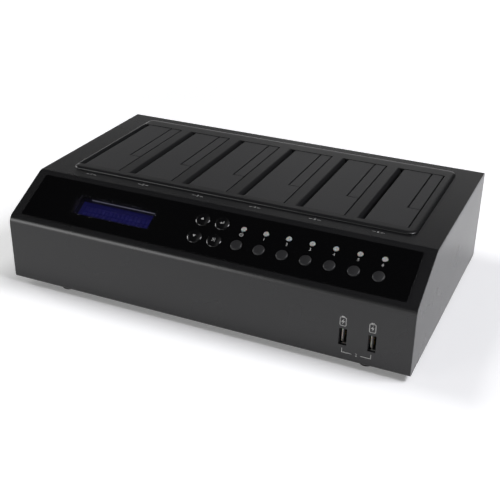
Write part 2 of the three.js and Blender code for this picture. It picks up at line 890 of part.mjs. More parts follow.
function coverSpring() {
  const section = new THREE.Shape(polygonCorners(0, 0, spring.wireRadius, coilFacets));
  const wire = new SpringWire(armInner - clearance.running - spring.wireRadius);
  const steps = Math.round(coilTurnFacets * wire.total / (2 * Math.PI * spring.coilRadius));
  return solidOf(new THREE.ExtrudeGeometry(section, { steps, extrudePath: wire, bevelEnabled: false }));
}

for (let bay = 0; bay < bays.count; bay += 1) {
  const axis = [hingeX(bay), coverMiddleY, hingeZ];
  const flapAxis = [hingeX(bay) + flapAxisX, coverMiddleY, hingeZ];
  place(duplicator, `bay_cover_${bay + 1}`, bayCover(), mouldedCover, axis);
  place(duplicator, `small_flap_${bay + 1}`, smallFlap(), mouldedCover, flapAxis);
  place(duplicator, `cover_spring_${bay + 1}`, coverSpring(), springSteel, axis);
}

// The control panel, from the outside in

function controlOverlay() {
  const left = casingLeft + overlay.sideMargin;
  const low = overlay.lowMargin;
  const outline = roundedRectangle(left, low, -left, low + overlayHeight, overlay.cornerRadius);
  const lap = display.paneLap + clearance.seat;
  const paneLeft = displayLeft;
  outline.holes.push(rectangle(
    paneLeft - lap, displayLow - lap, paneLeft + displayWidth + lap, displayLow + displayHeight + lap,
  ));
  for (const hole of panelHoles()) outline.holes.push(new THREE.Path(polygonCorners(...hole)));
  return slab(outline, overlayLow, overlayTop);
}

// A block behind or in front of the display's cut-out, with a margin all round it.
function displayBlock(margin, fromZ, toZ) {
  const left = displayLeft;
  return block(
    [left - margin, displayLow - margin, fromZ],
    [left + displayWidth + margin, displayLow + displayHeight + margin, toZ],
  );
}

function displayBezel() {
  const low = clearance.seat - display.glassDepth;
  const high = sheetBack - clearance.seat;
  const hole = displayBlock(clearance.seat, low - overrun, high + overrun);
  return displayBlock(clearance.seat + display.bezelWall, low, high).subtract(hole);
}

// The glass and the board that carries it.
function displayModule() {
  const glassLow = -display.glassDepth - display.glassThickness;
  const carrier = block(
    [displayLeft - display.boardSideMargin, displayLow - display.boardEndMargin, glassLow - board.thickness],
    [
      displayLeft + displayWidth + display.boardSideMargin,
      displayLow + displayHeight + display.boardEndMargin,
      glassLow,
    ],
  );
  return displayBlock(display.bezelWall, glassLow - board.thickness / 2, -display.glassDepth).add(carrier);
}

// One clear moulding: a bar under the sheet with a post up through each lamp hole.
function lightPipeStrip() {
  const half = lamp.barHeight / 2;
  let strip = block(
    [lampX(0) - lamp.barMargin, lampUp - half, pipeLow],
    [lampX(lamp.count - 1) + lamp.barMargin, lampUp + half, spacerTop],
  );
  for (let index = 0; index < lamp.count; index += 1) {
    const bedded = (pipeLow + spacerTop) / 2;
    strip = strip.add(barAlongZ(lamp.radius, lampX(index), lampUp, bedded, overlayTop, lampFacets));
  }
  return strip;
}

const collarTop = sheetBack - button.collarGap;
const collarLow = collarTop - button.collarHeight;
const spacerTop = sheetBack - clearance.seat;
const pipeLow = spacerTop - lamp.barThickness;
const controlLeft = navigationPlaces[0][0] - control.sideMargin;

// The board behind the buttons: a switch under each button, a light source under each lamp, and spacers up
// to the sheet. A pressed button stops on its switch.
function controlBoard() {
  const right = lampX(lamp.count - 1) + control.sideMargin;
  const low = overlay.lowMargin + control.endMargin;
  const high = overlay.lowMargin + overlayHeight - control.endMargin;
  const bedded = controlTop - board.thickness / 2;
  let solid = block([controlLeft, low, controlTop - board.thickness], [right, high, controlTop]);
  const standUp = (x, y, size, top) => {
    const half = size / 2;
    solid = solid.add(block([x - half, y - half, bedded], [x + half, y + half, top]));
  };
  const switchPlaces = [...navigationPlaces];
  for (let index = 0; index < lamp.count; index += 1) {
    switchPlaces.push([lampX(index), buttonUp]);
    standUp(lampX(index), lampUp, lamp.sourceSize, pipeLow - clearance.seat);
  }
  const plungerTop = collarLow - button.travel - clearance.seat;
  for (const [x, y] of switchPlaces) {
    standUp(x, y, control.switchSize, controlTop + control.switchHeight);
    solid = solid.add(barAlongZ(control.plungerRadius, x, y, controlTop, plungerTop, pinFacets));
  }
  const inset = control.postRadius + clearance.seat;
  for (const x of [controlLeft + inset, right - inset]) {
    for (const y of [low + inset, high - inset]) {
      solid = solid.add(barAlongZ(control.postRadius, x, y, bedded, spacerTop, pinFacets));
    }
  }
  return solid;
}

// A cap with a collar that keeps it under the sheet. The top is a list of points from the rim inwards.
function cap(radius, top) {
  return turned([
    [0, collarLow],
    [radius + button.collarWidth, collarLow],
    [radius + button.collarWidth, collarTop],
    [radius, collarTop],
    ...top,
  ], capFacets);
}

function roundButton() {
  const rimZ = overlayTop + button.proud - button.crown;
  const shoulder = Math.SQRT1_2;
  return cap(button.radius, [
    [button.radius, rimZ - button.rim],
    [button.radius - button.rim * (1 - shoulder), rimZ - button.rim * (1 - shoulder)],
    [button.radius - button.rim, rimZ],
    [button.radius / 2, rimZ + button.crown * 3 / 4],
    [0, rimZ + button.crown],
  ]);
}

// A domed cap whose top is part of a sphere.
function navigationButton() {
  const rimZ = overlayTop + navigation.proud;
  const top = [];
  for (let ring = 0; ring <= domeFacets; ring += 1) {
    const share = ring / domeFacets;
    top.push([navigation.radius * (1 - share), rimZ + navigation.crown * (1 - (1 - share) ** 2)]);
  }
  return cap(navigation.radius, top);
}

place(panel, 'control_panel', controlOverlay(), glossBlack);
place(panel, 'display_window', displayBlock(display.paneLap, overlayLow, overlayTop), clearPane);
place(panel, 'display_bezel', displayBezel(), blackSocket);
place(panel, 'display_module', displayModule(), blueDisplay);
place(panel, 'light_pipe_strip', lightPipeStrip(), lampLens);
place(panel, 'control_board', controlBoard(), greenBoard);
const navigationNames = ['up_button', 'enter_button', 'down_button', 'back_button'];
navigationPlaces.forEach(([x, y], index) => {
  place(panel, navigationNames[index], navigationButton(), glossBlack, [x, y, 0]);
});
for (let index = 0; index < lamp.count; index += 1) {
  const name = index === 0 ? 'power_button' : `drive_button_${index}`;
  place(panel, name, roundButton(), greyCap, [lampX(index), buttonUp, 0]);
}

// Sockets and boards

// A socket that opens towards -Y. Its middle lies on the axis, its mouth at y = 0, and its tongue stands
// out of the back of the cavity.
function socket(outer, mouth, tongue, depth, cavity) {
  const shell = block([-outer[0] / 2, 0, -outer[1] / 2], [outer[0] / 2, depth, outer[1] / 2]);
  const hollow = block([-mouth[0] / 2, -overrun, -mouth[1] / 2], [mouth[0] / 2, cavity, mouth[1] / 2]);
  const blade = block(
    [tongue.x - tongue.width / 2, cavity - tongue.length, -tongue.height / 2],
    [tongue.x + tongue.width / 2, (cavity + depth) / 2, tongue.height / 2],
  );
  return shell.subtract(hollow).add(blade);
}

function frontUsbPort() {
  const outer = [usbPort.mouthWidth + 2 * usbPort.wall, usbPort.mouthHeight + 2 * usbPort.wall];
  return socket(outer, [usbPort.mouthWidth, usbPort.mouthHeight], {
    x: -usbPort.tongueOffset,
    width: usbPort.tongueWidth,
    height: usbPort.tongueHeight,
    length: usbPort.tongueLength,
  }, usbPort.depth, usbPort.cavity);
}

function rearSocket({ width, height, cavity, tongueWidth, tongueHeight, tongueLength }) {
  const outer = [width + 2 * rearPorts.wall, height + 2 * rearPorts.wall];
  const tongue = { x: 0, width: tongueWidth, height: tongueHeight, length: tongueLength };
  return socket(outer, [width, height], tongue, rearPorts.depth, cavity);
}

function inletSocket() {
  const { size, boreRadius, pinRadius, pinLength, cavity } = powerInlet;
  return block([-size / 2, 0, -size / 2], [size / 2, rearPorts.depth, size / 2])
    .subtract(barAlongY(boreRadius, 0, 0, -overrun, cavity, capFacets))
    .add(barAlongY(pinRadius, 0, 0, cavity - pinLength, (cavity + rearPorts.depth) / 2, pinFacets));
}

const portY = casingFront + casing.sheet + clearance.seat;
const portZ = casingLow + usbPort.up;
for (const index of [0, 1]) {
  const middle = [usbPortX(index), portY, portZ];
  place(duplicator, `front_usb_port_${index + 1}`, frontUsbPort(), platedSteel, middle);
}

// A small upright board behind the two front sockets, standing on the floor of the box.
function frontPortBoard() {
  const top = portZ + usbPort.mouthHeight / 2 + usbPort.wall + board.margin;
  const side = usbPort.mouthWidth / 2 + usbPort.wall + board.margin;
  const y = portY + usbPort.depth + clearance.seat;
  return block(
    [usbPortX(0) - side, y, floorTop + clearance.seat],
    [usbPortX(1) + side, y + board.thickness, top],
  );
}

// Sockets in the back open towards +Y, so their group is turned half way round.
const back = new THREE.Group();
back.position.set(0, casingRear - casing.sheet - clearance.seat, 0);
back.rotation.z = Math.PI;
duplicator.add(back);
const rearSockets = [
  ['dc_inlet', inletSocket(), blackSocket, powerPlace],
  ['usb_b_port', rearSocket(serialPort), platedSteel, serialPlace],
  ['esata_port', rearSocket(drivePort), platedSteel, drivePlace],
];
for (const [name, solid, finish, [x, z]] of rearSockets) place(back, name, solid, finish, [-x, 0, z]);

function mainBoardPlate() {
  const side = casing.width / 2 - mainBoard.sideInset;
  return block(
    [-side, casingFront + mainBoard.frontInset, mainBoardLow],
    [side, casingRear - mainBoard.rearInset, mainBoardTop],
  );
}

// The drive connector: a base, two guide posts and the blade that a drive plugs on to.
function driveConnector() {
  const half = connector.length / 2;
  const side = connector.width / 2;
  const top = connector.baseHeight + connector.postHeight;
  const bladeHalf = half - connector.postLength - connector.bladeWidth;
  const blade = connector.bladeWidth / 2;
  return block([-side, -half, 0], [side, half, connector.baseHeight])
    .add(block([-side, -half, 0], [side, connector.postLength - half, top]))
    .add(block([-side, half - connector.postLength, 0], [side, half, top]))
    .add(block([-blade, -bladeHalf, 0], [blade, bladeHalf, connector.baseHeight + connector.bladeHeight]));
}

function finnedHeatsink() {
  const { size, baseHeight, finHeight, finWidth, finCount } = heatsink;
  let solid = block([0, 0, 0], [size, size, baseHeight]);
  const pitch = (size - finWidth) / (finCount - 1);
  for (let fin = 0; fin < finCount; fin += 1) {
    solid = solid.add(block([fin * pitch, 0, 0], [fin * pitch + finWidth, size, baseHeight + finHeight]));
  }
  return solid;
}

// A point of the control panel's frame as (y, z) of the whole box.
function panelPoint(up, out) {
  const point = new THREE.Vector3(0, up, out).applyMatrix4(panel.matrix);
  return new THREE.Vector2(point.y, point.z);
}

const ribbonLeft = controlLeft + ribbon.inset;

// The ribbon cable hangs in one easy curve from the back of the control board to the main board.
function ribbonCable() {
  const half = ribbon.thickness / 2;
  const takeOff = controlTop - board.thickness - clearance.seat;
  const start = panelPoint(ribbon.takeOff, takeOff);
  const end = new THREE.Vector2(casingFront + ribbon.landing, boardSeat + half);
  const reach = (start.y - end.y) / 2;
  const leaving = panelPoint(ribbon.takeOff, takeOff - reach);
  const arriving = new THREE.Vector2(end.x - reach, end.y);
  const curve = new THREE.CubicBezierCurve(start, leaving, arriving, end);
  const points = curve.getSpacedPoints(ribbon.stepCount);
  const offsets = points.map((point, index) => {
    const tangent = curve.getTangentAt(index / (points.length - 1));
    return new THREE.Vector2(-tangent.y, tangent.x).multiplyScalar(half);
  });
  const near = points.map((point, index) => point.clone().add(offsets[index]));
  const far = points.map((point, index) => point.clone().sub(offsets[index])).reverse();
  return slabAlongX(new THREE.Shape([...near, ...far]), ribbonLeft, ribbonLeft + ribbon.width);
}

place(duplicator, 'front_port_board', frontPortBoard(), greenBoard);
place(duplicator, 'main_board', mainBoardPlate(), greenBoard);
for (let bay = 0; bay < bays.count; bay += 1) {
  const x = openingLeft(bay) + openingWidth - connector.wallInset;
  const y = openingRear - connector.rearInset;
  place(duplicator, `drive_connector_${bay + 1}`, driveConnector(), blackSocket, [x, y, boardSeat]);
}
const heatsinkPlace = [
  ribbonLeft + ribbon.width + heatsink.cableGap,
  casingFront + heatsink.frontInset,
  boardSeat,
];
place(duplicator, 'heatsink', finnedHeatsink(), castAluminium, heatsinkPlace);
place(duplicator, 'ribbon_cable', ribbonCable(), greyRibbon);

export default duplicator;
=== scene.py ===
"""A hard drive duplicator: finishes, printed marks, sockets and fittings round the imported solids, on a pale stage.

Everything is in metres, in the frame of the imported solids: X to the right, Y to the rear, Z up.
"""

import json
import math

import bmesh
import bpy
from bpy.props import FloatProperty, FloatVectorProperty, IntProperty, PointerProperty
from mathutils import Matrix, Vector


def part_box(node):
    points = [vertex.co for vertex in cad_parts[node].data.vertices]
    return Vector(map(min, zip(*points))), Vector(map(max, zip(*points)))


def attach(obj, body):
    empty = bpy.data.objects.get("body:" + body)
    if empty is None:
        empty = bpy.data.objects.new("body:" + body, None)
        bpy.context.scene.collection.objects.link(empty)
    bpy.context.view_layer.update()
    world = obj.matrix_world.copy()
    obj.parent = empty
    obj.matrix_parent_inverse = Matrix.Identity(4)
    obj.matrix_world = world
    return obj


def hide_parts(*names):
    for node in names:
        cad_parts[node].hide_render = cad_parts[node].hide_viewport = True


bl_info = {
    "name": "Hard drive duplicator",
    "version": (1, 0, 0),
    "blender": (4, 5, 0),
    "location": "3D View > Sidebar > Duplicator",
    "description": "Dresses the solids of a six-bay hard drive duplicator and sets them on a pale stage",
    "category": "Object",
}

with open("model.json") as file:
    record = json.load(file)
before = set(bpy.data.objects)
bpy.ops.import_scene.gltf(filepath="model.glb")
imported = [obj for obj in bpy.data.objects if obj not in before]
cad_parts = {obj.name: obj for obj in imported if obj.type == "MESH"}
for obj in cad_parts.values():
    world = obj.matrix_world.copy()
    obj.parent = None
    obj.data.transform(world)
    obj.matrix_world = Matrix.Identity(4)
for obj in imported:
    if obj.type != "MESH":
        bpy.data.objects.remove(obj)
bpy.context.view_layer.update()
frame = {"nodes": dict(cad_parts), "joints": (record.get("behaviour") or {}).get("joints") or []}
MM = 0.001
BAYS = range(1, 7)
NAVIGATION = ("up_button", "enter_button", "down_button", "back_button")
ROUND_BUTTONS = ("power_button",) + tuple(f"drive_button_{bay}" for bay in BAYS)


# Measuring the solids


def box_in(node, matrix):
    """The lowest and highest corners of a solid in the frame of a matrix."""
    inverse = matrix.inverted()
    points = [inverse @ vertex.co for vertex in frame["nodes"][node].data.vertices]
    low = Vector([min(point[axis] for point in points) for axis in range(3)])
    high = Vector([max(point[axis] for point in points) for axis in range(3)])
    return low, high


def panel_frame():
    """The control panel's own frame: X to the right, Y up the slope, Z out of the gloss overlay's face."""
    press = next(joint for joint in frame["joints"] if joint["name"] == "power_button_press")
    outward = -Vector(press["axis"]).normalized()
    across = Vector((1, 0, 0))
    turn = Matrix((across, outward.cross(across), outward)).transposed().to_4x4()
    low, high = box_in("control_panel", turn)
    return turn @ Matrix.Translation((0, low.y, high.z))


PANEL = panel_frame()
CASING_LOW, CASING_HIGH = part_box("top_cover")


def middle_on_panel(node):
    """Where a button's axis meets the panel, in the panel's frame."""
    low, high = box_in(node, PANEL)
    return Vector(((low.x + high.x) / 2, (low.y + high.y) / 2, 0))


# What a user can change


def from_hex(code):
    """An sRGB hex colour as linear red, green and blue."""
    channels = [int(code[start:start + 2], 16) / 255 for start in (1, 3, 5)]
    return [c / 12.92 if c <= 0.04045 else ((c + 0.055) / 1.055) ** 2.4 for c in channels]


def length(name, description, millimetres):
    return FloatProperty(
        name=name, description=description, default=millimetres * MM, min=0, unit="LENGTH", subtype="DISTANCE",
    )


def angle(name, description, degrees):
    return FloatProperty(
        name=name, description=description, default=math.radians(degrees), unit="ROTATION", subtype="ANGLE",
    )


def colour(name, description, code):
    return FloatVectorProperty(
        name=name, description=description, default=from_hex(code), min=0, max=1, size=3, subtype="COLOR",
    )


class DuplicatorSizes(bpy.types.PropertyGroup):
    edge_rounding: length("Edge rounding", "Radius of the broken edges of sheet and mouldings", 0.3)
    fine_rounding: length("Fine rounding", "Radius of the edges of small fittings", 0.12)
    print_thickness: length("Print thickness", "How far printed marks stand proud", 0.03)
    digit_height: length("Digit height", "Height of the digits under the lamps", 2.4)
    bay_digit_height: length("Bay digit height", "Height of the digits in front of the bays", 2.6)
    bay_digit_inset: length("Bay digit inset", "From the front of the bay frame to the digits' middles", 4.9)
    lens_radius: length("Lens radius", "Radius of each lamp lens", 2.0)
    lens_proud: length("Lens proud", "How far each lens stands out of the overlay", 0.35)
    stroke: length("Stroke", "Line width of the printed symbols", 0.4)
    screw_radius: length("Screw radius", "Radius of the heads of the casing's screws", 2.8)
    turned_sides: IntProperty(
        name="Turned sides", description="Sides of each turned piece", default=64, min=12, max=256,
    )


class DuplicatorColours(bpy.types.PropertyGroup):
    paint: colour("Paint", "Powder coat on the sheet steel", "#1b1b1c")
    frame_plastic: colour("Frame plastic", "Moulding round the bays", "#19191a")
    cover_plastic: colour("Cover plastic", "Bay covers and small flaps", "#272728")
    overlay: colour("Overlay", "Gloss sheet on the control panel", "#060607")
    button: colour("Button", "Round buttons", "#262627")
    navigation: colour("Navigation button", "Domed buttons", "#0c0c0d")
    lens: colour("Lens", "Unlit lamp lenses", "#a6a6a4")
    ink: colour("Ink", "Printed marks", "#b9b9b7")
    display: colour("Display", "Face of the unlit display", "#1c1b58")
    board: colour("Board", "Solder mask on the circuit boards", "#123a22")
    rubber: colour("Rubber", "Feet", "#101010")
    steel: colour("Steel", "Plated shells, pins and screws", "#b9b8b4")
    gold: colour("Gold", "Contacts", "#d9b164")


class DuplicatorStage(bpy.types.PropertyGroup):
    azimuth: angle("Azimuth", "Camera's turn to the right of straight in front", 24.02)
    elevation: angle("Elevation", "Camera's angle above level", 27.36)
    roll: angle("Roll", "Camera's lean about its own line of sight", 0.88)
    distance: length("Distance", "From the camera to the point that it looks at", 740.5)
    lens: FloatProperty(
        name="Lens", description="Focal length in millimetres, on a sensor 36 mm wide", default=65.7, min=10,
        max=300,
    )
    floor: colour("Floor", "Colour that the pale floor gives to the light", "#e6e6e6")
    floor_width: length("Floor width", "Side of the square floor", 14000)


def sizes():
    return bpy.context.scene.duplicator_sizes


def colours():
    return bpy.context.scene.duplicator_colours


# Finishes


def add_node(tree, kind, inputs=None, links=None, **settings):
    """Adds a node, sets its settings and its sockets, and links other nodes' outputs to it."""
    node = tree.nodes.new(kind)
    for name, value in settings.items():
        setattr(node, name, value)
    for socket, value in (inputs or {}).items():
        node.inputs[socket].default_value = value
    for socket, source in (links or {}).items():
        tree.links.new(source, node.inputs[socket])
    return node


def finish(name, base, roughness, **sockets):
    """A new material with one shader, and the shader's tree."""
    made = bpy.data.materials.new(name)
    made.use_nodes = True
    tree = made.node_tree
    tree.nodes.clear()
    inputs = {"Base Color": (*base, 1), "Roughness": roughness}
    inputs.update({socket.replace("_", " "): value for socket, value in sockets.items()})
    shader = add_node(tree, "ShaderNodeBsdfPrincipled", inputs)
    add_node(tree, "ShaderNodeOutputMaterial", links={"Surface": shader.outputs["BSDF"]})
    return made, tree, shader


def once(make):
    """Makes a finish at the first call and gives the same one at each later call."""
    made = {}

    def give():
        if make not in made:
            made[make] = make()
        return made[make]

    return give


# Most of a noise texture's values lie between these two.
PATTERN_LOW, PATTERN_HIGH = 0.3, 0.7


def patches(tree, size, detail, harshness=0.5):
    """Soft patches all over a surface: size is the width of a patch, in millimetres."""
    place = add_node(tree, "ShaderNodeTexCoord")
    noise = add_node(
        tree, "ShaderNodeTexNoise", {"Scale": 1 / (size * MM), "Detail": detail, "Roughness": harshness},
        {"Vector": place.outputs["Object"]},
    )
    return noise.outputs["Fac"]


def emboss(tree, shader, source, depth):
    """Raises a surface by a pattern, up to a height in millimetres."""
    bump = add_node(tree, "ShaderNodeBump", {"Strength": 1.0, "Distance": depth * MM}, {"Height": source})
    tree.links.new(bump.outputs["Normal"], shader.inputs["Normal"])


def grain(tree, shader, size, depth, detail=3.0):
    """Small bumps all over a surface: size is the width of a bump and depth its height, in millimetres."""
    source = patches(tree, size, detail, harshness=0.55)
    emboss(tree, shader, source, depth)
    return source


def vary(tree, shader, source, low, high):
    """Drives a shader's roughness by a pattern, from low to high."""
    spread = add_node(
        tree, "ShaderNodeMapRange",
        {"From Min": PATTERN_LOW, "From Max": PATTERN_HIGH, "To Min": low, "To Max": high}, {"Value": source},
    )
    tree.links.new(spread.outputs["Result"], shader.inputs["Roughness"])


def tint(tree, shader, source, dark, light):
    """Drives a shader's base colour by a pattern, from a dark colour to a light one."""
    ramp = add_node(tree, "ShaderNodeValToRGB", links={"Fac": source})
    for element, position, shade in zip(ramp.color_ramp.elements, (PATTERN_LOW, PATTERN_HIGH), (dark, light)):
        element.position = position
        element.color = (*shade, 1)
    tree.links.new(ramp.outputs["Color"], shader.inputs["Base Color"])


def scaled(base, factor):
    """A colour made darker or lighter by a factor."""
    return [min(channel * factor, 1) for channel in base]


@once
def powder_coated_steel():
    """Sheet steel under baked powder: a fine orange peel that breaks up reflections into a soft sheen."""
    paint = colours().paint
    made, tree, shader = finish("powder coated steel", paint, roughness=0.27, IOR=1.47)
    # The real peel is about 0.5 mm wide. It is drawn twice as coarse, so that it shows.
    grain(tree, shader, size=1.0, depth=0.004, detail=1.0)
    # The coat's thickness drifts slowly over a panel, and its sheen with it.
    drift = patches(tree, size=60, detail=2.0)
    vary(tree, shader, drift, 0.26, 0.28)
    tint(tree, shader, drift, scaled(paint, 0.93), scaled(paint, 1.07))
    return made


def textured_abs(name, base, low, high):
    """ABS moulded in a spark-eroded tool: a dull, even skin with a grain that is felt more than seen."""
    made, tree, shader = finish(name, base, (low + high) / 2, IOR=1.53)
    # The real grain is about 0.2 mm wide. It is drawn at 0.7 mm, so that it shows.
    skin = grain(tree, shader, size=0.7, depth=0.012)
    vary(tree, shader, skin, low, high)
    tint(tree, shader, skin, scaled(base, 0.95), scaled(base, 1.05))
    return made


@once
def moulded_frame_abs():
    """Black ABS round the bays, a little glossier than the covers."""
    return textured_abs("black textured ABS", colours().frame_plastic, 0.28, 0.36)


@once
def moulded_cover_abs():
    """Charcoal ABS of the covers, satin enough to catch a broad soft light."""
    return textured_abs("charcoal satin ABS", colours().cover_plastic, 0.36, 0.44)


@once
def gloss_acrylic():
    """Back-printed acrylic sheet: black lies under a clear skin, so it shows as a dark mirror."""
    made, tree, shader = finish("gloss black acrylic", colours().overlay, roughness=0.05, IOR=1.49)
    vary(tree, shader, patches(tree, size=9, detail=5.0), 0.03, 0.09)
    return made


@once
def clear_acrylic():
    """Clear acrylic pane over the display, with a faint smoke tint."""
    made, tree, shader = finish(
        "clear smoked acrylic", from_hex("#c8c8d8"), roughness=0.02, IOR=1.49, Transmission_Weight=1.0,
    )
    vary(tree, shader, patches(tree, size=12, detail=4.0), 0.01, 0.05)
    return made


@once
def satin_button_abs():
    """Grey ABS caps with a light satin, worn a little smoother than the tool left them."""
    return textured_abs("grey satin ABS", colours().button, 0.34, 0.42)


@once
def gloss_button_abs():
    """Polished black ABS domes, which show each softbox as one bright spot."""
    made, tree, shader = finish("polished black ABS", colours().navigation, roughness=0.16, IOR=1.53)
    skin = grain(tree, shader, size=1.4, depth=0.002)
    vary(tree, shader, skin, 0.12, 0.2)
    return made


@once
def frosted_polycarbonate():
    """Milky polycarbonate light pipes: they scatter light under the skin and look pale when unlit."""
    made, tree, shader = finish(
        "frosted polycarbonate", colours().lens, roughness=0.3, IOR=1.58,
        Subsurface_Weight=0.35, Subsurface_Scale=1 * MM,
    )
    skin = grain(tree, shader, size=0.5, depth=0.004)
    vary(tree, shader, skin, 0.25, 0.36)
    return made


@once
def light_guide():
    """A pale strip along the display's opening that glows a little: a painted highlight for the glint on the
    window's upper edge.
    """
    # The pale colour and faint glow are a painted highlight.
    made, tree, shader = finish(
        "pale painted glint strip", from_hex("#c4c4c4"), roughness=0.25, IOR=1.58,
        Emission_Strength=0.12, Emission_Color=(1, 1, 1, 1),
    )
    skin = grain(tree, shader, size=0.8, depth=0.001)
    vary(tree, shader, skin, 0.2, 0.3)
    return made


@once
def screen_ink():
    """Screen-printed ink: flat and dull, with a film that is a little uneven."""
    ink = colours().ink
    made, tree, shader = finish("pale screen ink", ink, roughness=0.6, IOR=1.5)
    film = grain(tree, shader, size=0.4, depth=0.003)
    tint(tree, shader, film, scaled(ink, 0.88), ink)
    return made


@once
def display_glass():
    """The face of a blue liquid crystal display, which is unlit: deep blue, with a faint glow painted in."""
    blue = colours().display
    # The emission is a painted glow: the display is unlit.
    made, tree, shader = finish(
        "blue display glass", blue, roughness=0.2, IOR=1.52,
        Emission_Strength=0.5, Emission_Color=(*from_hex("#1d1c55"), 1),
    )
    tint(tree, shader, patches(tree, size=30, detail=1.0), scaled(blue, 0.85), scaled(blue, 1.15))
    return made


@once
def display_cell():
    """The blank character cells of the display, hardly lighter than the glass round them, with the same faint
    painted glow.
    """
    # The emission is the same painted glow as the display's glass.
    made, tree, shader = finish(
        "blank display cell", from_hex("#201f60"), roughness=0.5, IOR=1.52,
        Emission_Strength=0.5, Emission_Color=(*from_hex("#1f1e5b"), 1),
    )
    grain(tree, shader, size=0.6, depth=0.001)
    return made


@once
def solder_mask():
    """Glass-epoxy board under green solder mask: glossy, with the copper showing as lighter lines."""
    mask = colours().board
    made, tree, shader = finish("green solder mask", mask, roughness=0.28, IOR=1.52)
    place = add_node(tree, "ShaderNodeTexCoord")
    # Copper runs are about 0.3 mm wide in life, and drawn at 0.8 mm so that they show.
    run, spacing, reach = 0.8 * MM, 3.1 * MM, 23 * MM
    bare, other, copper = [(grey, grey, grey, 1) for grey in (0.3, 0.42, 0.72)]
    runs = add_node(
        tree, "ShaderNodeTexBrick", {
            "Scale": 1.0, "Mortar Size": run / 2, "Brick Width": reach, "Row Height": spacing,
            "Color1": bare, "Color2": other, "Mortar": copper,
        }, {"Vector": place.outputs["Object"]},
    )
    tint(tree, shader, runs.outputs["Color"], scaled(mask, 0.85), scaled(mask, 1.9))
    return made


@once
def chip_epoxy():
    """Black epoxy of chip packages, dull from the mould."""
    return textured_abs("black chip epoxy", from_hex("#18181a"), 0.5, 0.6)


@once
def foot_rubber():
    """Moulded rubber feet, almost without shine."""
    made, tree, shader = finish("black moulded rubber", colours().rubber, roughness=0.85, IOR=1.52)
    skin = grain(tree, shader, size=0.9, depth=0.02)
    vary(tree, shader, skin, 0.78, 0.92)
    return made


def plated(name, base, low, high):
    """Plated metal: the plating follows fine drawing marks that spread its highlights."""
    made, tree, shader = finish(name, base, (low + high) / 2, Metallic=1.0)
    place = add_node(tree, "ShaderNodeTexCoord")
    # Drawing marks are microns wide, and drawn at 0.2 mm by 4 mm so that they show.
    across, along = 1 / (0.2 * MM), 1 / (4 * MM)
    stretch = add_node(
        tree, "ShaderNodeMapping", {"Scale": (across, along, across)}, {"Vector": place.outputs["Object"]},
    )
    marks = add_node(
        tree, "ShaderNodeTexNoise", {"Scale": 1.0, "Detail": 3.0}, {"Vector": stretch.outputs["Vector"]},
    )
    vary(tree, shader, marks.outputs["Fac"], low, high)
    tint(tree, shader, marks.outputs["Fac"], scaled(base, 0.92), scaled(base, 1.04))
    return made


@once
def nickel_plate():
    """Bright nickel on socket shells and leads, with a slightly streaked mirror."""
    return plated("nickel plated steel", colours().steel, 0.2, 0.34)


@once
def black_nickel():
    """Black nickel on the front sockets' shells, dark even where it faces the light."""
    return plated("black nickel plated steel", from_hex("#3a3a3c"), 0.28, 0.42)


@once
def spring_wire():
    """Hard-drawn spring wire, darker than plate and streaked along the wire."""
    return plated("spring steel wire", from_hex("#9b9a96"), 0.25, 0.4)


@once
def black_zinc():
    """Black zinc on screws: a metal sheen in a dark grey."""
    return plated("black zinc plated steel", from_hex("#4a4a4c"), 0.3, 0.45)


@once
def gold_plate():
    """Flash gold on contacts: warm, and the brightest metal here."""
    return plated("gold plated contacts", colours().gold, 0.18, 0.3)


@once
def socket_nylon():
    """Black glass-filled nylon of connectors, with a slightly rough skin."""
    return textured_abs("black filled nylon", from_hex("#141415"), 0.42, 0.52)


@once
def ivory_nylon():
    """Ivory nylon of the plates in the front sockets, a little waxy."""
    made, tree, shader = finish(
        "ivory moulded nylon", from_hex("#e6ded4"), roughness=0.4, IOR=1.53,
        Subsurface_Weight=0.2, Subsurface_Scale=0.8 * MM,
    )
    skin = grain(tree, shader, size=0.7, depth=0.006)
    vary(tree, shader, skin, 0.34, 0.46)
    return made


@once
def extruded_aluminium():
    """Extruded aluminium, natural: fine lines run along the fins."""
    return plated("extruded aluminium", from_hex("#a6a8aa"), 0.3, 0.42)


@once
def ribbon_vinyl():
    """Flat cable in grey vinyl: one ridge for each wire, 1.27 mm apart."""
    made, tree, shader = finish("grey ribbon vinyl", from_hex("#7d7d80"), roughness=0.5, IOR=1.53)
    place = add_node(tree, "ShaderNodeTexCoord")
    # The wave texture repeats every pi / 10 of its own length at scale 1.
    ridges = add_node(
        tree, "ShaderNodeTexWave", {"Scale": math.pi / 10 / (1.27 * MM)}, {"Vector": place.outputs["Object"]},
        bands_direction="X", wave_profile="SIN",
    )
    # The crests are painted lighter and the troughs darker: painted highlight and shade on the ridges.
    tint(tree, shader, ridges.outputs["Fac"], from_hex("#5c5c5f"), from_hex("#85858a"))
    emboss(tree, shader, ridges.outputs["Fac"], depth=0.2)
    return made


# Shapes

# Corners of a mesh in work that are closer than this are one corner.
SAME_CORNER = 1e-7


def add_turned(bm, profile, place, sides=None):
    """Turns a profile of (radius, height) points about Z. The profile starts and ends on the axis."""
    count = sides or sizes().turned_sides
    rings = []
    for radius, height in profile:
        if radius == 0:
            rings.append([bm.verts.new(place @ Vector((0, 0, height)))])
            continue
        turns = [2 * math.pi * side / count for side in range(count)]
        rings.append([
            bm.verts.new(place @ Vector((radius * math.cos(t), radius * math.sin(t), height))) for t in turns
        ])
    for below, above in zip(rings, rings[1:]):
        for side in range(count):
            after = (side + 1) % count
            corners = [below[side % len(below)], below[after % len(below)]]
            corners += [above[after % len(above)], above[side % len(above)]]
            bm.faces.new(list(dict.fromkeys(corners)))


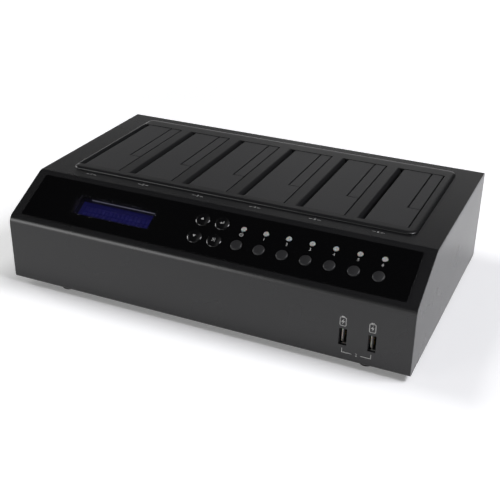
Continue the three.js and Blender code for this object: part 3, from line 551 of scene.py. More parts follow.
def add_prism(bm, outline, low, high, place=Matrix.Identity(4)):
    """Gives a flat outline of (x, y) points thickness from low to high."""
    lower = [bm.verts.new(place @ Vector((x, y, low))) for x, y in outline]
    upper = [bm.verts.new(place @ Vector((x, y, high))) for x, y in outline]
    bm.faces.new(lower[::-1])
    bm.faces.new(upper)
    for index in range(len(outline)):
        after = (index + 1) % len(outline)
        bm.faces.new([lower[index], lower[after], upper[after], upper[index]])


def rectangle(left, low, right, high):
    return [(left, low), (right, low), (right, high), (left, high)]


def add_block(bm, low, high, place=Matrix.Identity(4)):
    """A block between its lowest and its highest corner."""
    add_prism(bm, rectangle(low[0], low[1], high[0], high[1]), low[2], high[2], place)


def rounded_corners(left, low, right, high, radius, steps):
    """A rectangle with rounded corners, as (x, y) points."""
    points = []
    for turn, x, y in ((0, right - radius, high - radius), (1, left + radius, high - radius),
                       (2, left + radius, low + radius), (3, right - radius, low + radius)):
        for step in range(steps + 1):
            way = (turn + step / steps) * math.pi / 2
            points.append((x + radius * math.cos(way), y + radius * math.sin(way)))
    return points


def bulge(across, up, turn, steps):
    """A rounded rim, as shares of a radius and a height: inward from (1, up), about (across, up)."""
    ways = [math.radians(turn) * step / steps for step in range(1, steps + 1)]
    return [(across + (1 - across) * math.cos(way), up + (1 - up) * math.sin(way)) for way in ways]


def dome(radius, top, crown, steps):
    """A shallow dome's profile from its edge to its middle."""
    shares = [1 - step / steps for step in range(steps + 1)]
    return [(radius * share, top - crown * share ** 2) for share in shares]


def add_stroke(bm, points, width, low, high, place, closed=False):
    """A line of one width along (x, y) points, with its corners mitred."""
    sharpest = 0.3  # a mitre reaches no further out than this cosine allows
    count = len(points)
    left, right = [], []
    for index, (x, y) in enumerate(points):
        before = points[index - 1] if closed or index else points[index]
        after = points[(index + 1) % count] if closed or index < count - 1 else points[index]
        ways = []
        if before != (x, y):
            ways.append(Vector((x - before[0], y - before[1])).normalized())
        if after != (x, y):
            ways.append(Vector((after[0] - x, after[1] - y)).normalized())
        along = sum(ways, Vector((0, 0))).normalized()
        reach = width / 2 / max(along.dot(ways[0]), sharpest)
        side = Vector((-along.y, along.x)) * reach
        left.append((x + side.x, y + side.y))
        right.append((x - side.x, y - side.y))
    for index in range(count if closed else count - 1):
        after = (index + 1) % count
        add_prism(bm, [right[index], right[after], left[after], left[index]], low, high, place)


def arc(radius, start, end):
    """Points on an arc about the origin, by degrees."""
    steps = 24
    ways = [math.radians(start + (end - start) * step / steps) for step in range(steps + 1)]
    return [(radius * math.cos(way), radius * math.sin(way)) for way in ways]


def put(name, data):
    """A new object in the scene, with a mesh, a curve, a lamp or a lens as its data."""
    thing = bpy.data.objects.new(name, data)
    bpy.context.scene.collection.objects.link(thing)
    return thing


def settled(bm, name):
    """A mesh from one in work, with its corners joined and its faces turned outward."""
    bmesh.ops.remove_doubles(bm, verts=bm.verts, dist=SAME_CORNER)
    bmesh.ops.recalc_face_normals(bm, faces=bm.faces)
    mesh = bpy.data.meshes.new(name)
    bm.to_mesh(mesh)
    bm.free()
    return mesh


def as_shown(thing):
    """A new mesh of an object as it shows, with its modifiers or its thickness in it."""
    bpy.context.view_layer.update()
    return bpy.data.meshes.new_from_object(thing.evaluated_get(bpy.context.evaluated_depsgraph_get()))


def add_digit(bm, text, height, thickness, place):
    """One digit in the built-in face, centred on the place's origin and facing its Z."""
    digit_share = 0.7  # a digit's height in the built-in face, as a share of the face's size
    curve = bpy.data.curves.new("digit", "FONT")
    curve.body = text
    curve.align_x = "CENTER"
    curve.align_y = "CENTER"
    curve.size = height / digit_share
    curve.extrude = thickness / 2
    curve.resolution_u = 3
    holder = put("digit", curve)
    mesh = as_shown(holder)
    mesh.transform(place @ Matrix.Translation((0, 0, thickness / 2)))
    bm.from_mesh(mesh)
    bpy.data.meshes.remove(mesh)
    bpy.data.objects.remove(holder)
    bpy.data.curves.remove(curve)


def cut(target, tool):
    """Takes one mesh in work out of another, and gives what is left. Neither may cross itself."""
    whole, taken = [put("work", settled(bm, "work")) for bm in (target, tool)]
    taking = whole.modifiers.new("Cut", "BOOLEAN")
    taking.operation = "DIFFERENCE"
    taking.object = taken
    taking.solver = "EXACT"
    left = as_shown(whole)
    bm = bmesh.new()
    bm.from_mesh(left)
    # Removing a mesh also removes the object that holds it.
    for mesh in (left, whole.data, taken.data):
        bpy.data.meshes.remove(mesh)
    return bm


def round_edges(thing, radius):
    """Breaks the edges of an object and shades it so that flat faces stay flat."""
    bevel = thing.modifiers.new("Broken edges", "BEVEL")
    bevel.width = radius
    bevel.segments = 2
    bevel.limit_method = "ANGLE"
    bevel.angle_limit = math.radians(40)
    bevel.use_clamp_overlap = True
    shade = thing.modifiers.new("Flat faces", "WEIGHTED_NORMAL")
    shade.keep_sharp = True


def give_finish(mesh, material):
    """Gives a mesh one finish, and shades it smooth."""
    mesh.materials.clear()
    mesh.materials.append(material)
    mesh.polygons.foreach_set("use_smooth", [True] * len(mesh.polygons))


def piece(name, bm, material, body, rounding=None, replaces=()):
    """Makes a named object from a mesh in work, gives it a finish, and ties it to a body."""
    mesh = settled(bm, name)
    give_finish(mesh, material)
    thing = put(name, mesh)
    if rounding:
        round_edges(thing, rounding)
    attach(thing, body)
    if replaces:
        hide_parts(*replaces)


def dress(node, material, rounding=None):
    """Gives a solid its finish, and shows it with broken edges and smooth bends."""
    thing = frame["nodes"][node]
    give_finish(thing.data, material)
    weld = thing.modifiers.new("Joined corners", "WELD")
    weld.merge_threshold = 0.001 * MM
    flat = thing.modifiers.new("Flat faces joined", "DECIMATE")
    flat.decimate_type = "DISSOLVE"
    flat.angle_limit = math.radians(0.5)
    round_edges(thing, rounding or sizes().edge_rounding)


# Pieces

# A printed mark stands this far off its face, so that the two don't share a plane.
PRINT_GAP = 0.005 * MM

# A dressed socket's carrier covers the tongue of its solid by this much.
LAP = 0.06 * MM


class DUPLICATOR_OT_casing(bpy.types.Operator):
    """Finish the bent cover, the side panels and the base plate, and add their screws"""

    bl_idname = "duplicator.casing"
    bl_label = "Casing"

    def execute(self, context):
        for node in ("top_cover", "left_side_panel", "right_side_panel", "base_plate"):
            dress(node, powder_coated_steel())
        inset = 9.5 * MM
        width_shares = (0.06, 0.5, 0.94)
        for row, y in (("front", CASING_LOW.y + inset), ("rear", CASING_HIGH.y - inset)):
            for index, share in enumerate(width_shares):
                x = CASING_LOW.x + share * (CASING_HIGH.x - CASING_LOW.x)
                under = Matrix.Translation((x, y, CASING_LOW.z)) @ Matrix.Rotation(math.pi, 4, "X")
                self.add_screw(f"base_screw_{row}_{index + 1}", under)
        return {"FINISHED"}

    def add_screw(self, name, place):
        """A pan-head screw with a cross recess, its head on the place's origin and facing its Z."""
        radius = sizes().screw_radius
        tall = 0.5 * radius
        rim = 0.35
        shares = [(0, 0), (1, 0), (1, rim)] + bulge(rim, rim, turn=60, steps=5) + [(0, 1)]
        head = bmesh.new()
        add_turned(head, [(radius * across, tall * up) for across, up in shares], place)
        cross = bmesh.new()
        arm, slot = 0.55 * radius, 0.11 * radius
        outline = []
        for _ in range(4):
            outline = [(arm, -slot), (arm, slot), (slot, slot)] + [(-y, x) for x, y in outline]
        recess_floor, above_head = 0.4 * tall, 2 * tall
        add_prism(cross, outline, recess_floor, above_head, place)
        piece(name, cut(head, cross), black_zinc(), "casing", 0.1 * MM)


class DUPLICATOR_OT_bay_frame(bpy.types.Operator):
    """Finish the moulded frame round the bays and the guide under it"""

    bl_idname = "duplicator.bay_frame"
    bl_label = "Bay frame"

    def execute(self, context):
        dress("bay_frame", moulded_frame_abs(), 0.25 * MM)
        dress("drive_guide", moulded_frame_abs())
        return {"FINISHED"}


class DUPLICATOR_OT_bay_covers(bpy.types.Operator):
    """Finish the six covers, their small flaps and their springs"""

    bl_idname = "duplicator.bay_covers"
    bl_label = "Bay covers"

    def execute(self, context):
        for bay in BAYS:
            dress(f"bay_cover_{bay}", moulded_cover_abs())
            dress(f"small_flap_{bay}", moulded_cover_abs(), 0.2 * MM)
            dress(f"cover_spring_{bay}", spring_wire(), 0.05 * MM)
        return {"FINISHED"}


class DUPLICATOR_OT_control_panel(bpy.types.Operator):
    """Finish the gloss overlay and the display behind its window"""

    bl_idname = "duplicator.control_panel"
    bl_label = "Control panel"

    def execute(self, context):
        dress("control_panel", gloss_acrylic(), 0.15 * MM)
        dress("display_window", clear_acrylic(), 0.1 * MM)
        dress("display_bezel", socket_nylon(), 0.1 * MM)
        dress("display_module", display_glass(), 0.1 * MM)
        self.add_cells()
        self.add_guide_edge()
        return {"FINISHED"}

    def add_cells(self):
        """Two rows of blank character cells on the display's face."""
        columns, rows = 16, 2
        side_margin, end_margin = 5 * MM, 4 * MM
        gap, corner, proud = 0.7 * MM, 0.15 * MM, 0.03 * MM
        low, high = box_in("display_window", PANEL)
        glass = box_in("display_module", PANEL)[1].z
        width = (high.x - low.x - 2 * side_margin) / columns
        height = (high.y - low.y - 2 * end_margin) / rows
        bm = bmesh.new()
        for column in range(columns):
            for row in range(rows):
                left = low.x + side_margin + column * width
                front = low.y + end_margin + row * height
                right, rear = left + width - gap, front + height - gap
                outline = rounded_corners(left, front, right, rear, corner, steps=2)
                add_prism(bm, outline, glass, glass + proud, PANEL)
        piece("display_cells", bm, display_cell(), "casing")

    def add_guide_edge(self):
        """A pale strip along the upper wall of the opening, standing in for the glint on that edge: a painted
        highlight.
        """
        wall = 3 * MM
        start_share = 0.13  # of the opening's width, left bare at its left end
        out, into = 0.3 * MM, 0.1 * MM
        deepest, shallowest = -3.2 * MM, -2.4 * MM
        low, high = box_in("display_bezel", PANEL)
        left, right, upper = low.x + wall, high.x - wall, high.y - wall
        start = left + start_share * (right - left)
        bm = bmesh.new()
        add_block(bm, (start, upper - out, deepest), (right, upper + into, shallowest), PANEL)
        # A pale, faintly glowing strip: a painted highlight on the opening's upper edge.
        piece("display_painted_glint", bm, light_guide(), "casing", 0.06 * MM)


def lamp_row():
    """How far up the panel the lamps lie: the middle of the light pipes' strip."""
    low, high = box_in("light_pipe_strip", PANEL)
    return (low.y + high.y) / 2


class DUPLICATOR_OT_lamps(bpy.types.Operator):
    """Add a round lens with a dimple over each light pipe"""

    bl_idname = "duplicator.lamps"
    bl_label = "Lamps"

    def execute(self, context):
        dress("light_pipe_strip", frosted_polycarbonate(), 0.1 * MM)
        row, seat = lamp_row(), 0.01 * MM
        wall = [(0, 0), (0.98, 0), (1, 0.15), (1, 0.45)]
        dimple = [(0.55, 1), (0.4, 0.35), (0, 0.2)]
        radius, proud = sizes().lens_radius, sizes().lens_proud
        shares = wall + bulge(0.7, 0.45, turn=90, steps=4) + dimple
        profile = [(radius * across, proud * up) for across, up in shares]
        for index, button in enumerate(ROUND_BUTTONS):
            bm = bmesh.new()
            centre = Vector((middle_on_panel(button).x, row, seat))
            add_turned(bm, profile, PANEL @ Matrix.Translation(centre))
            piece(f"lamp_lens_{index + 1}", bm, frosted_polycarbonate(), "casing")
        return {"FINISHED"}


def button_start(node):
    """The start of a button's profile, which is the collar that keeps it in, and its cap's radius and top."""
    collar_width = 0.8 * MM
    low, high = box_in(node, PANEL)
    collar = (high.x - low.x) / 2
    cap = collar - collar_width
    # The collar's top is the second lowest level of the solid's corners.
    inverse = PANEL.inverted()
    levels = sorted({round((inverse @ v.co).z / MM, 2) for v in frame["nodes"][node].data.vertices})
    shoulder = levels[1] * MM
    return [(0, low.z), (collar, low.z), (collar, shoulder), (cap, shoulder)], cap, high.z


def turn_button(node, profile, material):
    """A turned button in the place of its solid."""
    bm = bmesh.new()
    add_turned(bm, profile, PANEL @ Matrix.Translation(middle_on_panel(node)))
    piece(f"{node}_cap", bm, material, node, replaces=[node])


class DUPLICATOR_OT_round_buttons(bpy.types.Operator):
    """Turn the seven round buttons"""

    bl_idname = "duplicator.round_buttons"
    bl_label = "Round buttons"

    def execute(self, context):
        rim, crown, steps = 0.7 * MM, 0.25 * MM, 5
        for node in ROUND_BUTTONS:
            profile, cap, top = button_start(node)
            for step in range(steps + 1):
                way = step / steps * math.pi / 2
                profile.append((cap - rim * (1 - math.cos(way)), top - crown - rim * (1 - math.sin(way))))
            turn_button(node, profile + dome(cap - rim, top, crown, steps)[1:], satin_button_abs())
        return {"FINISHED"}


class DUPLICATOR_OT_navigation_buttons(bpy.types.Operator):
    """Turn the four domed buttons and print a symbol on each"""

    bl_idname = "duplicator.navigation_buttons"
    bl_label = "Navigation buttons"

    def execute(self, context):
        crown, edge, edge_share = 1.1 * MM, 0.15 * MM, 0.985
        for node in NAVIGATION:
            profile, cap, top = button_start(node)
            profile.append((cap, top - crown - edge))
            turn_button(node, profile + dome(cap * edge_share, top, crown, steps=8), gloss_button_abs())
            self.print_symbol(node, top)
        return {"FINISHED"}

    def print_symbol(self, node, top):
        """A plain arrow, the bent arrow of a return key or a cross, thick enough to follow the dome."""
        s = 1.25 * MM  # half the width of a symbol
        sunk = 0.22 * MM
        line = sizes().stroke
        low, high = top - sunk, top + sizes().print_thickness
        place = PANEL @ Matrix.Translation(middle_on_panel(node))
        bm = bmesh.new()
        if node == "up_button":
            add_prism(bm, [(-s, -0.6 * s), (s, -0.6 * s), (0, s)], low, high, place)
        elif node == "down_button":
            add_prism(bm, [(-s, 0.6 * s), (0, -s), (s, 0.6 * s)], low, high, place)
        elif node == "enter_button":
            add_stroke(bm, [(s, s), (s, -0.3 * s), (-0.3 * s, -0.3 * s)], line, low, high, place)
            add_prism(bm, [(-1.1 * s, -0.3 * s), (-0.2 * s, -s), (-0.2 * s, 0.4 * s)], low, high, place)
        else:
            add_stroke(bm, [(-s, -s), (s, s)], line, low, high, place)
            add_stroke(bm, [(-s, s), (s, -s)], line, low, high, place)
        piece(f"{node}_mark", bm, screen_ink(), node)


class DUPLICATOR_OT_panel_marks(bpy.types.Operator):
    """Print the power ring and the digits between the lamps and the buttons"""

    bl_idname = "duplicator.panel_marks"
    bl_label = "Panel marks"

    def execute(self, context):
        line, proud = sizes().stroke, sizes().print_thickness
        above_halfway = 2.4 * MM
        ring, bar_start, bar_end = 1.3 * MM, 0.2 * MM, 1.9 * MM
        row = (lamp_row() + middle_on_panel("power_button").y) / 2 + above_halfway
        bm = bmesh.new()
        places = {
            node: PANEL @ Matrix.Translation((middle_on_panel(node).x, row, PRINT_GAP)) for node in ROUND_BUTTONS
        }
        add_stroke(bm, arc(ring, start=128, end=412), line, 0, proud, places["power_button"])
        add_stroke(bm, [(0, bar_start), (0, bar_end)], line, 0, proud, places["power_button"])
        for bay in BAYS:
            add_digit(bm, str(bay), sizes().digit_height, proud, places[f"drive_button_{bay}"])
        piece("panel_marks", bm, screen_ink(), "casing")
        return {"FINISHED"}


class DUPLICATOR_OT_bay_numbers(bpy.types.Operator):
    """Print a digit between two dashes on the sheet in front of each bay"""

    bl_idname = "duplicator.bay_numbers"
    bl_label = "Bay numbers"

    def execute(self, context):
        dash_start, dash_end = 1.8 * MM, 4.6 * MM
        line, proud = sizes().stroke, sizes().print_thickness
        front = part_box("bay_frame")[0].y - sizes().bay_digit_inset
        bm = bmesh.new()
        for bay in BAYS:
            low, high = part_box(f"bay_cover_{bay}")
            place = Matrix.Translation(((low.x + high.x) / 2, front, CASING_HIGH.z + PRINT_GAP))
            add_digit(bm, str(bay), sizes().bay_digit_height, proud, place)
            for side in (-1, 1):
                add_stroke(bm, [(side * dash_start, 0), (side * dash_end, 0)], line, 0, proud, place)
        piece("bay_numbers", bm, screen_ink(), "casing")
        return {"FINISHED"}


class DUPLICATOR_OT_front_ports(bpy.types.Operator):
    """Finish the two front sockets, and print their battery symbols and the bracket that joins them"""

    bl_idname = "duplicator.front_ports"
    bl_label = "Front ports"

    def execute(self, context):
        middles = []
        for port in (1, 2):
            node = f"front_usb_port_{port}"
            dress(node, black_nickel(), sizes().fine_rounding)
            low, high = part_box(node)
            middle = (low + high) / 2
            middles.append(middle)
            mouth = Vector((middle.x, low.y, middle.z))
            self.add_tongue(port, mouth)
            self.add_finger(port, mouth)
        self.print_marks(middles)
        return {"FINISHED"}

    def add_tongue(self, port, mouth):
        """An ivory plate and a black carrier over the tongue in the shell, with four contacts on the carrier."""
        thick, plate, half = 1.8 * MM, 0.95 * MM, 5.5 * MM
        depth, root = 2 * MM, 10 * MM
        left, right = mouth.x - thick - LAP, mouth.x + LAP
        seam = left + plate
        front, rear = mouth.y + depth - LAP, mouth.y + root
        low, high = mouth.z - half - LAP, mouth.z + half + LAP
        for name, near, far, material in (
            ("plate", left, seam, ivory_nylon()), ("tongue", seam, right, socket_nylon()),
        ):
            bm = bmesh.new()
            add_block(bm, (near, front, low), (far, rear, high))
            piece(f"front_port_{name}_{port}", bm, material, "casing", sizes().fine_rounding)
        contacts, pitch, half_width = 4, 2.4 * MM, 0.5 * MM
        front_inset, rear_inset = 2.5 * MM, 1 * MM
        sunk, proud = 0.1 * MM, 0.14 * MM
        bm = bmesh.new()
        for index in range(contacts):
            z = mouth.z + (index - (contacts - 1) / 2) * pitch
            corner = (right - sunk, front + front_inset, z - half_width)
            add_block(bm, corner, (right + proud, rear - rear_inset, z + half_width))
        piece(f"front_port_contacts_{port}", bm, gold_plate(), "casing", 0.06 * MM)

    def add_finger(self, port, mouth):
        """A sprung finger of the shell with a blunt lip, pressed in at the lower end of the mouth."""
        left, right = mouth.x - 0.9 * MM, mouth.x + 2.5 * MM
        front = mouth.y + 0.5 * MM
        low = mouth.z - 6.2 * MM
        # The finger's side view, as (depth, height) in millimetres. It is given its width across the mouth.
        side_view = [(0, 0.5), (3, 1.3), (6, 1.4), (6, 1.1), (3, 1), (0, -0.3)]
        across = Matrix(((0, 0, 1, left), (1, 0, 0, front), (0, 1, 0, low), (0, 0, 0, 1)))
        bm = bmesh.new()
        add_prism(bm, [(depth * MM, rise * MM) for depth, rise in side_view], 0, right - left, across)
        piece(f"front_port_finger_{port}", bm, nickel_plate(), "casing", 0.06 * MM)

    def print_marks(self, middles):
        """A battery outline with a bolt over each socket, and a bracket with a digit under both."""
        # The front face looks to -Y, so its marks are drawn in a frame whose Z points there.
        turn = Matrix.Rotation(math.pi / 2, 4, "X")
        face = CASING_LOW.y - PRINT_GAP
        line, proud = sizes().stroke, sizes().print_thickness
        battery_line, bracket_line = 1.5 * line, 1.3 * line
        battery_left, battery_up = 0.3 * MM, 12.3 * MM
        half, tall, corner = 2.2 * MM, 3.3 * MM, 0.8 * MM
        pole, pole_low, pole_high = 1.1 * MM, 0.3 * MM, 1.1 * MM
        bolt = [(0.6, 2.3), (-1.3, -0.35), (-0.1, -0.35), (-0.6, -2.3), (1.3, 0.35), (0.1, 0.35)]
        bm = bmesh.new()
        for middle in middles:
            place = Matrix.Translation((middle.x - battery_left, face, middle.z + battery_up)) @ turn
            case = rounded_corners(-half, -tall, half, tall, corner, steps=3)
            add_stroke(bm, case, battery_line, 0, proud, place, closed=True)
            add_block(bm, (-pole, tall + pole_low, 0), (pole, tall + pole_high, proud), place)
            add_prism(bm, [(x * MM, y * MM) for x, y in bolt], 0, proud, place)
        left, right = middles
        bracket_down, bracket_up, gap = 12.3 * MM, 8.8 * MM, 3.2 * MM
        low, high = left.z - bracket_down, left.z - bracket_up
        place = Matrix.Translation((0, face, 0)) @ turn
        centre = (left.x + right.x) / 2
        for end, x in ((centre - gap, left.x), (centre + gap, right.x)):
            add_stroke(bm, [(x, high), (x, low), (end, low)], bracket_line, 0, proud, place)
        add_digit(bm, "2", sizes().digit_height, proud, place @ Matrix.Translation((centre, low, 0)))
        piece("front_marks", bm, screen_ink(), "casing")


class DUPLICATOR_OT_rear_sockets(bpy.types.Operator):
    """Finish the three sockets at the back"""

    bl_idname = "duplicator.rear_sockets"
    bl_label = "Rear sockets"

    def execute(self, context):
        dress("dc_inlet", socket_nylon(), sizes().fine_rounding)
        dress("usb_b_port", nickel_plate(), sizes().fine_rounding)
        dress("esata_port", nickel_plate(), sizes().fine_rounding)
        self.add_inlet_pin()
        self.add_tongue("usb_b_port", width=5.4 * MM, height=2.8 * MM, depth=2 * MM, reach=7 * MM, contacts=2)
        self.add_tongue("esata_port", width=8 * MM, height=1.2 * MM, depth=1.5 * MM, reach=6.5 * MM, contacts=7)
        return {"FINISHED"}

    def mouth(self, node):
        """The middle of a rear socket's mouth, in a frame whose Z points into the socket."""
        low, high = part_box(node)
        middle = Matrix.Translation(((low.x + high.x) / 2, high.y, (low.z + high.z) / 2))
        return middle @ Matrix.Rotation(math.pi / 2, 4, "X")

    def add_inlet_pin(self):
        """A plated sleeve with a rounded tip over the pin of the power inlet."""
        radius, tip, root = 1.08 * MM, 1.9 * MM, 7.9 * MM
        rounded_tip = [(0, 0), (0.5, 0.02 * MM), (0.85, 0.2 * MM), (1, 0.6 * MM)]
        profile = [(radius * share, tip + back) for share, back in rounded_tip] + [(radius, root), (0, root)]
        bm = bmesh.new()
        add_turned(bm, profile, self.mouth("dc_inlet"))
        piece("dc_inlet_pin", bm, nickel_plate(), "casing")

    def add_tongue(self, node, width, height, depth, reach, contacts):
        """A black carrier over a socket's tongue, with contacts on both of its faces."""
        root_gap, front_inset, rear_inset = 0.5 * MM, 0.6 * MM, 1 * MM
        proud, sunk = 0.05 * MM, 0.1 * MM
        width_share, bare_share = 0.28, 0.6  # of the pitch: half a contact's width, and what both ends leave bare
        place = self.mouth(node)
        half = width / 2 + LAP
        thick = height / 2 + LAP
        bm = bmesh.new()
        add_block(bm, (-half, -thick, depth - LAP), (half, thick, depth + reach - root_gap), place)
        piece(f"{node}_tongue", bm, socket_nylon(), "casing", sizes().fine_rounding)
        pitch = width / (contacts + bare_share)
        front, rear = depth + front_inset, depth + reach - rear_inset
        bm = bmesh.new()
        for index in range(contacts):
            x = (index - (contacts - 1) / 2) * pitch
            left, right = x - width_share * pitch, x + width_share * pitch
            for low, high in ((-thick - proud, -thick + sunk), (thick - sunk, thick + proud)):
                add_block(bm, (left, low, front), (right, high, rear), place)
        piece(f"{node}_contacts", bm, gold_plate(), "casing")


class DUPLICATOR_OT_boards(bpy.types.Operator):
    """Finish the circuit boards and what stands on them, and add the chips"""

    bl_idname = "duplicator.boards"
    bl_label = "Boards"

    def execute(self, context):
        for node in ("main_board", "control_board", "front_port_board"):
            dress(node, solder_mask(), 0.1 * MM)
        for bay in BAYS:
            dress(f"drive_connector_{bay}", socket_nylon(), sizes().fine_rounding)
        dress("heatsink", extruded_aluminium(), sizes().fine_rounding)
        dress("ribbon_cable", ribbon_vinyl(), 0.15 * MM)
        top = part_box("main_board")[1].z
        for bay in BAYS:
            low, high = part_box(f"drive_connector_{bay}")
            self.add_blade_contacts(bay, low, high)
            self.add_chips(bay, low.x, top)
            self.add_capacitors(bay, low.x, top)
        return {"FINISHED"}

    def add_blade_contacts(self, bay, low, high):
        """Gold contacts along both sides of the blade of a drive connector."""
        count, pitch, width_share = 15, 2.032 * MM, 0.3
        near, far = 0.66 * MM, 0.74 * MM
        foot, tip = low.z + 6.1 * MM, low.z + 11 * MM
        middle = (low.x + high.x) / 2
        bm = bmesh.new()
        for index in range(count):
            y = (low.y + high.y) / 2 + (index - (count - 1) / 2) * pitch
            front, rear = y - width_share * pitch, y + width_share * pitch
            for left, right in ((middle - far, middle - near), (middle + near, middle + far)):
                add_block(bm, (left, front, foot), (right, rear, tip))
        piece(f"drive_connector_contacts_{bay}", bm, gold_plate(), "casing")

    def add_chips(self, bay, right, top):
        """A bridge chip and a small regulator with their leads, on the board under a bay."""
        # Each chip: its middle from the connector and from the board's middle, half its side, leads on a side.
        chips = ((14 * MM, 30 * MM, 5 * MM, 12), (9 * MM, 5 * MM, 2.4 * MM, 4))
        corner, body_low, body_high = 0.4 * MM, top + 0.1 * MM, top + 1.3 * MM
        lead_low, lead_high = top + 0.01 * MM, top + 0.25 * MM
        lead_out, lead_half, lead_share = 0.5 * MM, 0.55 * MM, 0.25
        body, leads = bmesh.new(), bmesh.new()
        for away, y, half, count in chips:
            x = right - away
            outline = rounded_corners(x - half, y - half, x + half, y + half, corner, steps=2)
            add_prism(body, outline, body_low, body_high)
            pitch = 2 * half / (count + 1)
            narrow = lead_share * pitch
            for index in range(count):
                offset = (index - (count - 1) / 2) * pitch
                for side in (-1, 1):
                    out = side * (half + lead_out)
                    for across, along, wide, deep in (
                        (x + offset, y + out, narrow, lead_half), (x + out, y + offset, lead_half, narrow),
                    ):
                        corner_low = (across - wide, along - deep, lead_low)
                        add_block(leads, corner_low, (across + wide, along + deep, lead_high))
        piece(f"bridge_chip_{bay}", body, chip_epoxy(), "casing", 0.1 * MM)
        piece(f"chip_leads_{bay}", leads, nickel_plate(), "casing")

    def add_capacitors(self, bay, right, top):
        """Two capacitors on the board under a bay, each with a groove rolled in near its foot."""
        # Half of a can's section, as (radius, height) in millimetres.
        can = [(0, 0), (2.5, 0), (2.5, 0.9), (2.3, 1.1), (2.3, 1.3), (2.5, 1.5), (2.5, 5.1), (2.2, 5.4), (0, 5.4)]
        away, seat, sides = 12 * MM, 0.01 * MM, 32
        cans = bmesh.new()
        for y in (-8 * MM, -16 * MM):
            place = Matrix.Translation((right - away, y, top + seat))
            add_turned(cans, [(radius * MM, height * MM) for radius, height in can], place, sides)
        piece(f"capacitors_{bay}", cans, extruded_aluminium(), "casing")


class DUPLICATOR_OT_feet(bpy.types.Operator):
    """Turn the four rubber feet"""

    bl_idname = "duplicator.feet"
    bl_label = "Feet"

    def execute(self, context):
        flange, taper = 0.5 * MM, 0.8 * MM
        # In millimetres: the sole's edge as (outward, up) from its tapered side, its hole as (radius, up).
        edge = [(0.1, 0.6), (-0.1, 0.15), (-0.6, 0)]
        hole = [(2.6, 0), (2.2, 0.3), (2.2, 2), (0, 2)]
        for node in ("foot_front_left", "foot_front_right", "foot_rear_left", "foot_rear_right"):
            low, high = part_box(node)
            wide = (high.x - low.x) / 2
            narrow = wide - taper
            profile = [(0, high.z), (wide, high.z), (wide, high.z - flange)]
            profile += [(narrow + out * MM, low.z + up * MM) for out, up in edge]
            profile += [(radius * MM, low.z + up * MM) for radius, up in hole]
            bm = bmesh.new()
            add_turned(bm, profile, Matrix.Translation(((low.x + high.x) / 2, (low.y + high.y) / 2, 0)))
            piece(f"{node}_rubber", bm, foot_rubber(), "casing", 0.15 * MM, [node])
        return {"FINISHED"}


# Stage

CAMERA_TARGET = Vector((4.23, -12.88, 25.68)) * MM
SENSOR_WIDTH = 36

# The part of the floor that is painted darker round the object, a painted soft shadow, reaches past its right side
# by this share of its width. It has no limit in height, which the 10 m stand for.
PAINTED_SHADOW_SHARE = 0.12
PAINTED_SHADOW_MIDDLE = (CASING_HIGH.x * PAINTED_SHADOW_SHARE, 0, 0)
PAINTED_SHADOW_HALF = (CASING_HIGH.x * (1 + PAINTED_SHADOW_SHARE), CASING_HIGH.y, 10)

# The floor's own white by the distance from that part, in metres: dim close to the object, which paints a soft
# shadow there.
FLOOR_GLOW_WITH_PAINTED_SHADOW = ((0.0, 0.16), (0.012, 0.26), (0.032, 0.42), (0.3, 0.42), (1.0, 0.7))

# The room's brightness by height over the horizon, from 0 at the horizon to 1 overhead, on each side.
SKY_LEFT = ((0.0, 0.9), (0.1, 0.9), (0.2, 0.15), (0.34, 0.15), (0.42, 0.0), (0.75, 0.0), (0.85, 0.013))
SKY_RIGHT = ((0.0, 0.0), (0.75, 0.0), (0.85, 0.237))
SKY_STRENGTH = 1.58

# Half of the band about the middle in which one side of the room passes into the other.
SKY_BLEND = 0.15

# Each softbox: name, degrees round to the right of the front, degrees up, watts, colour.
SOFTBOXES = (
    ("left", -90, 20, 8.2, "#ffffff"),
    ("front_left", -33, 14, 5.2, "#ffffff"),
    ("front", 5, 25, 0.4, "#ffffff"),
    ("right", 90, 50, 17.0, "#fafaff"),
    ("rear", -170, 22, 0.2, "#ffffff"),
)
SOFTBOX_WIDTH, SOFTBOX_HEIGHT = 0.7, 0.5
SOFTBOX_DISTANCE = 1.6
SOFTBOX_AIM = Vector((0, 0, 40 * MM))


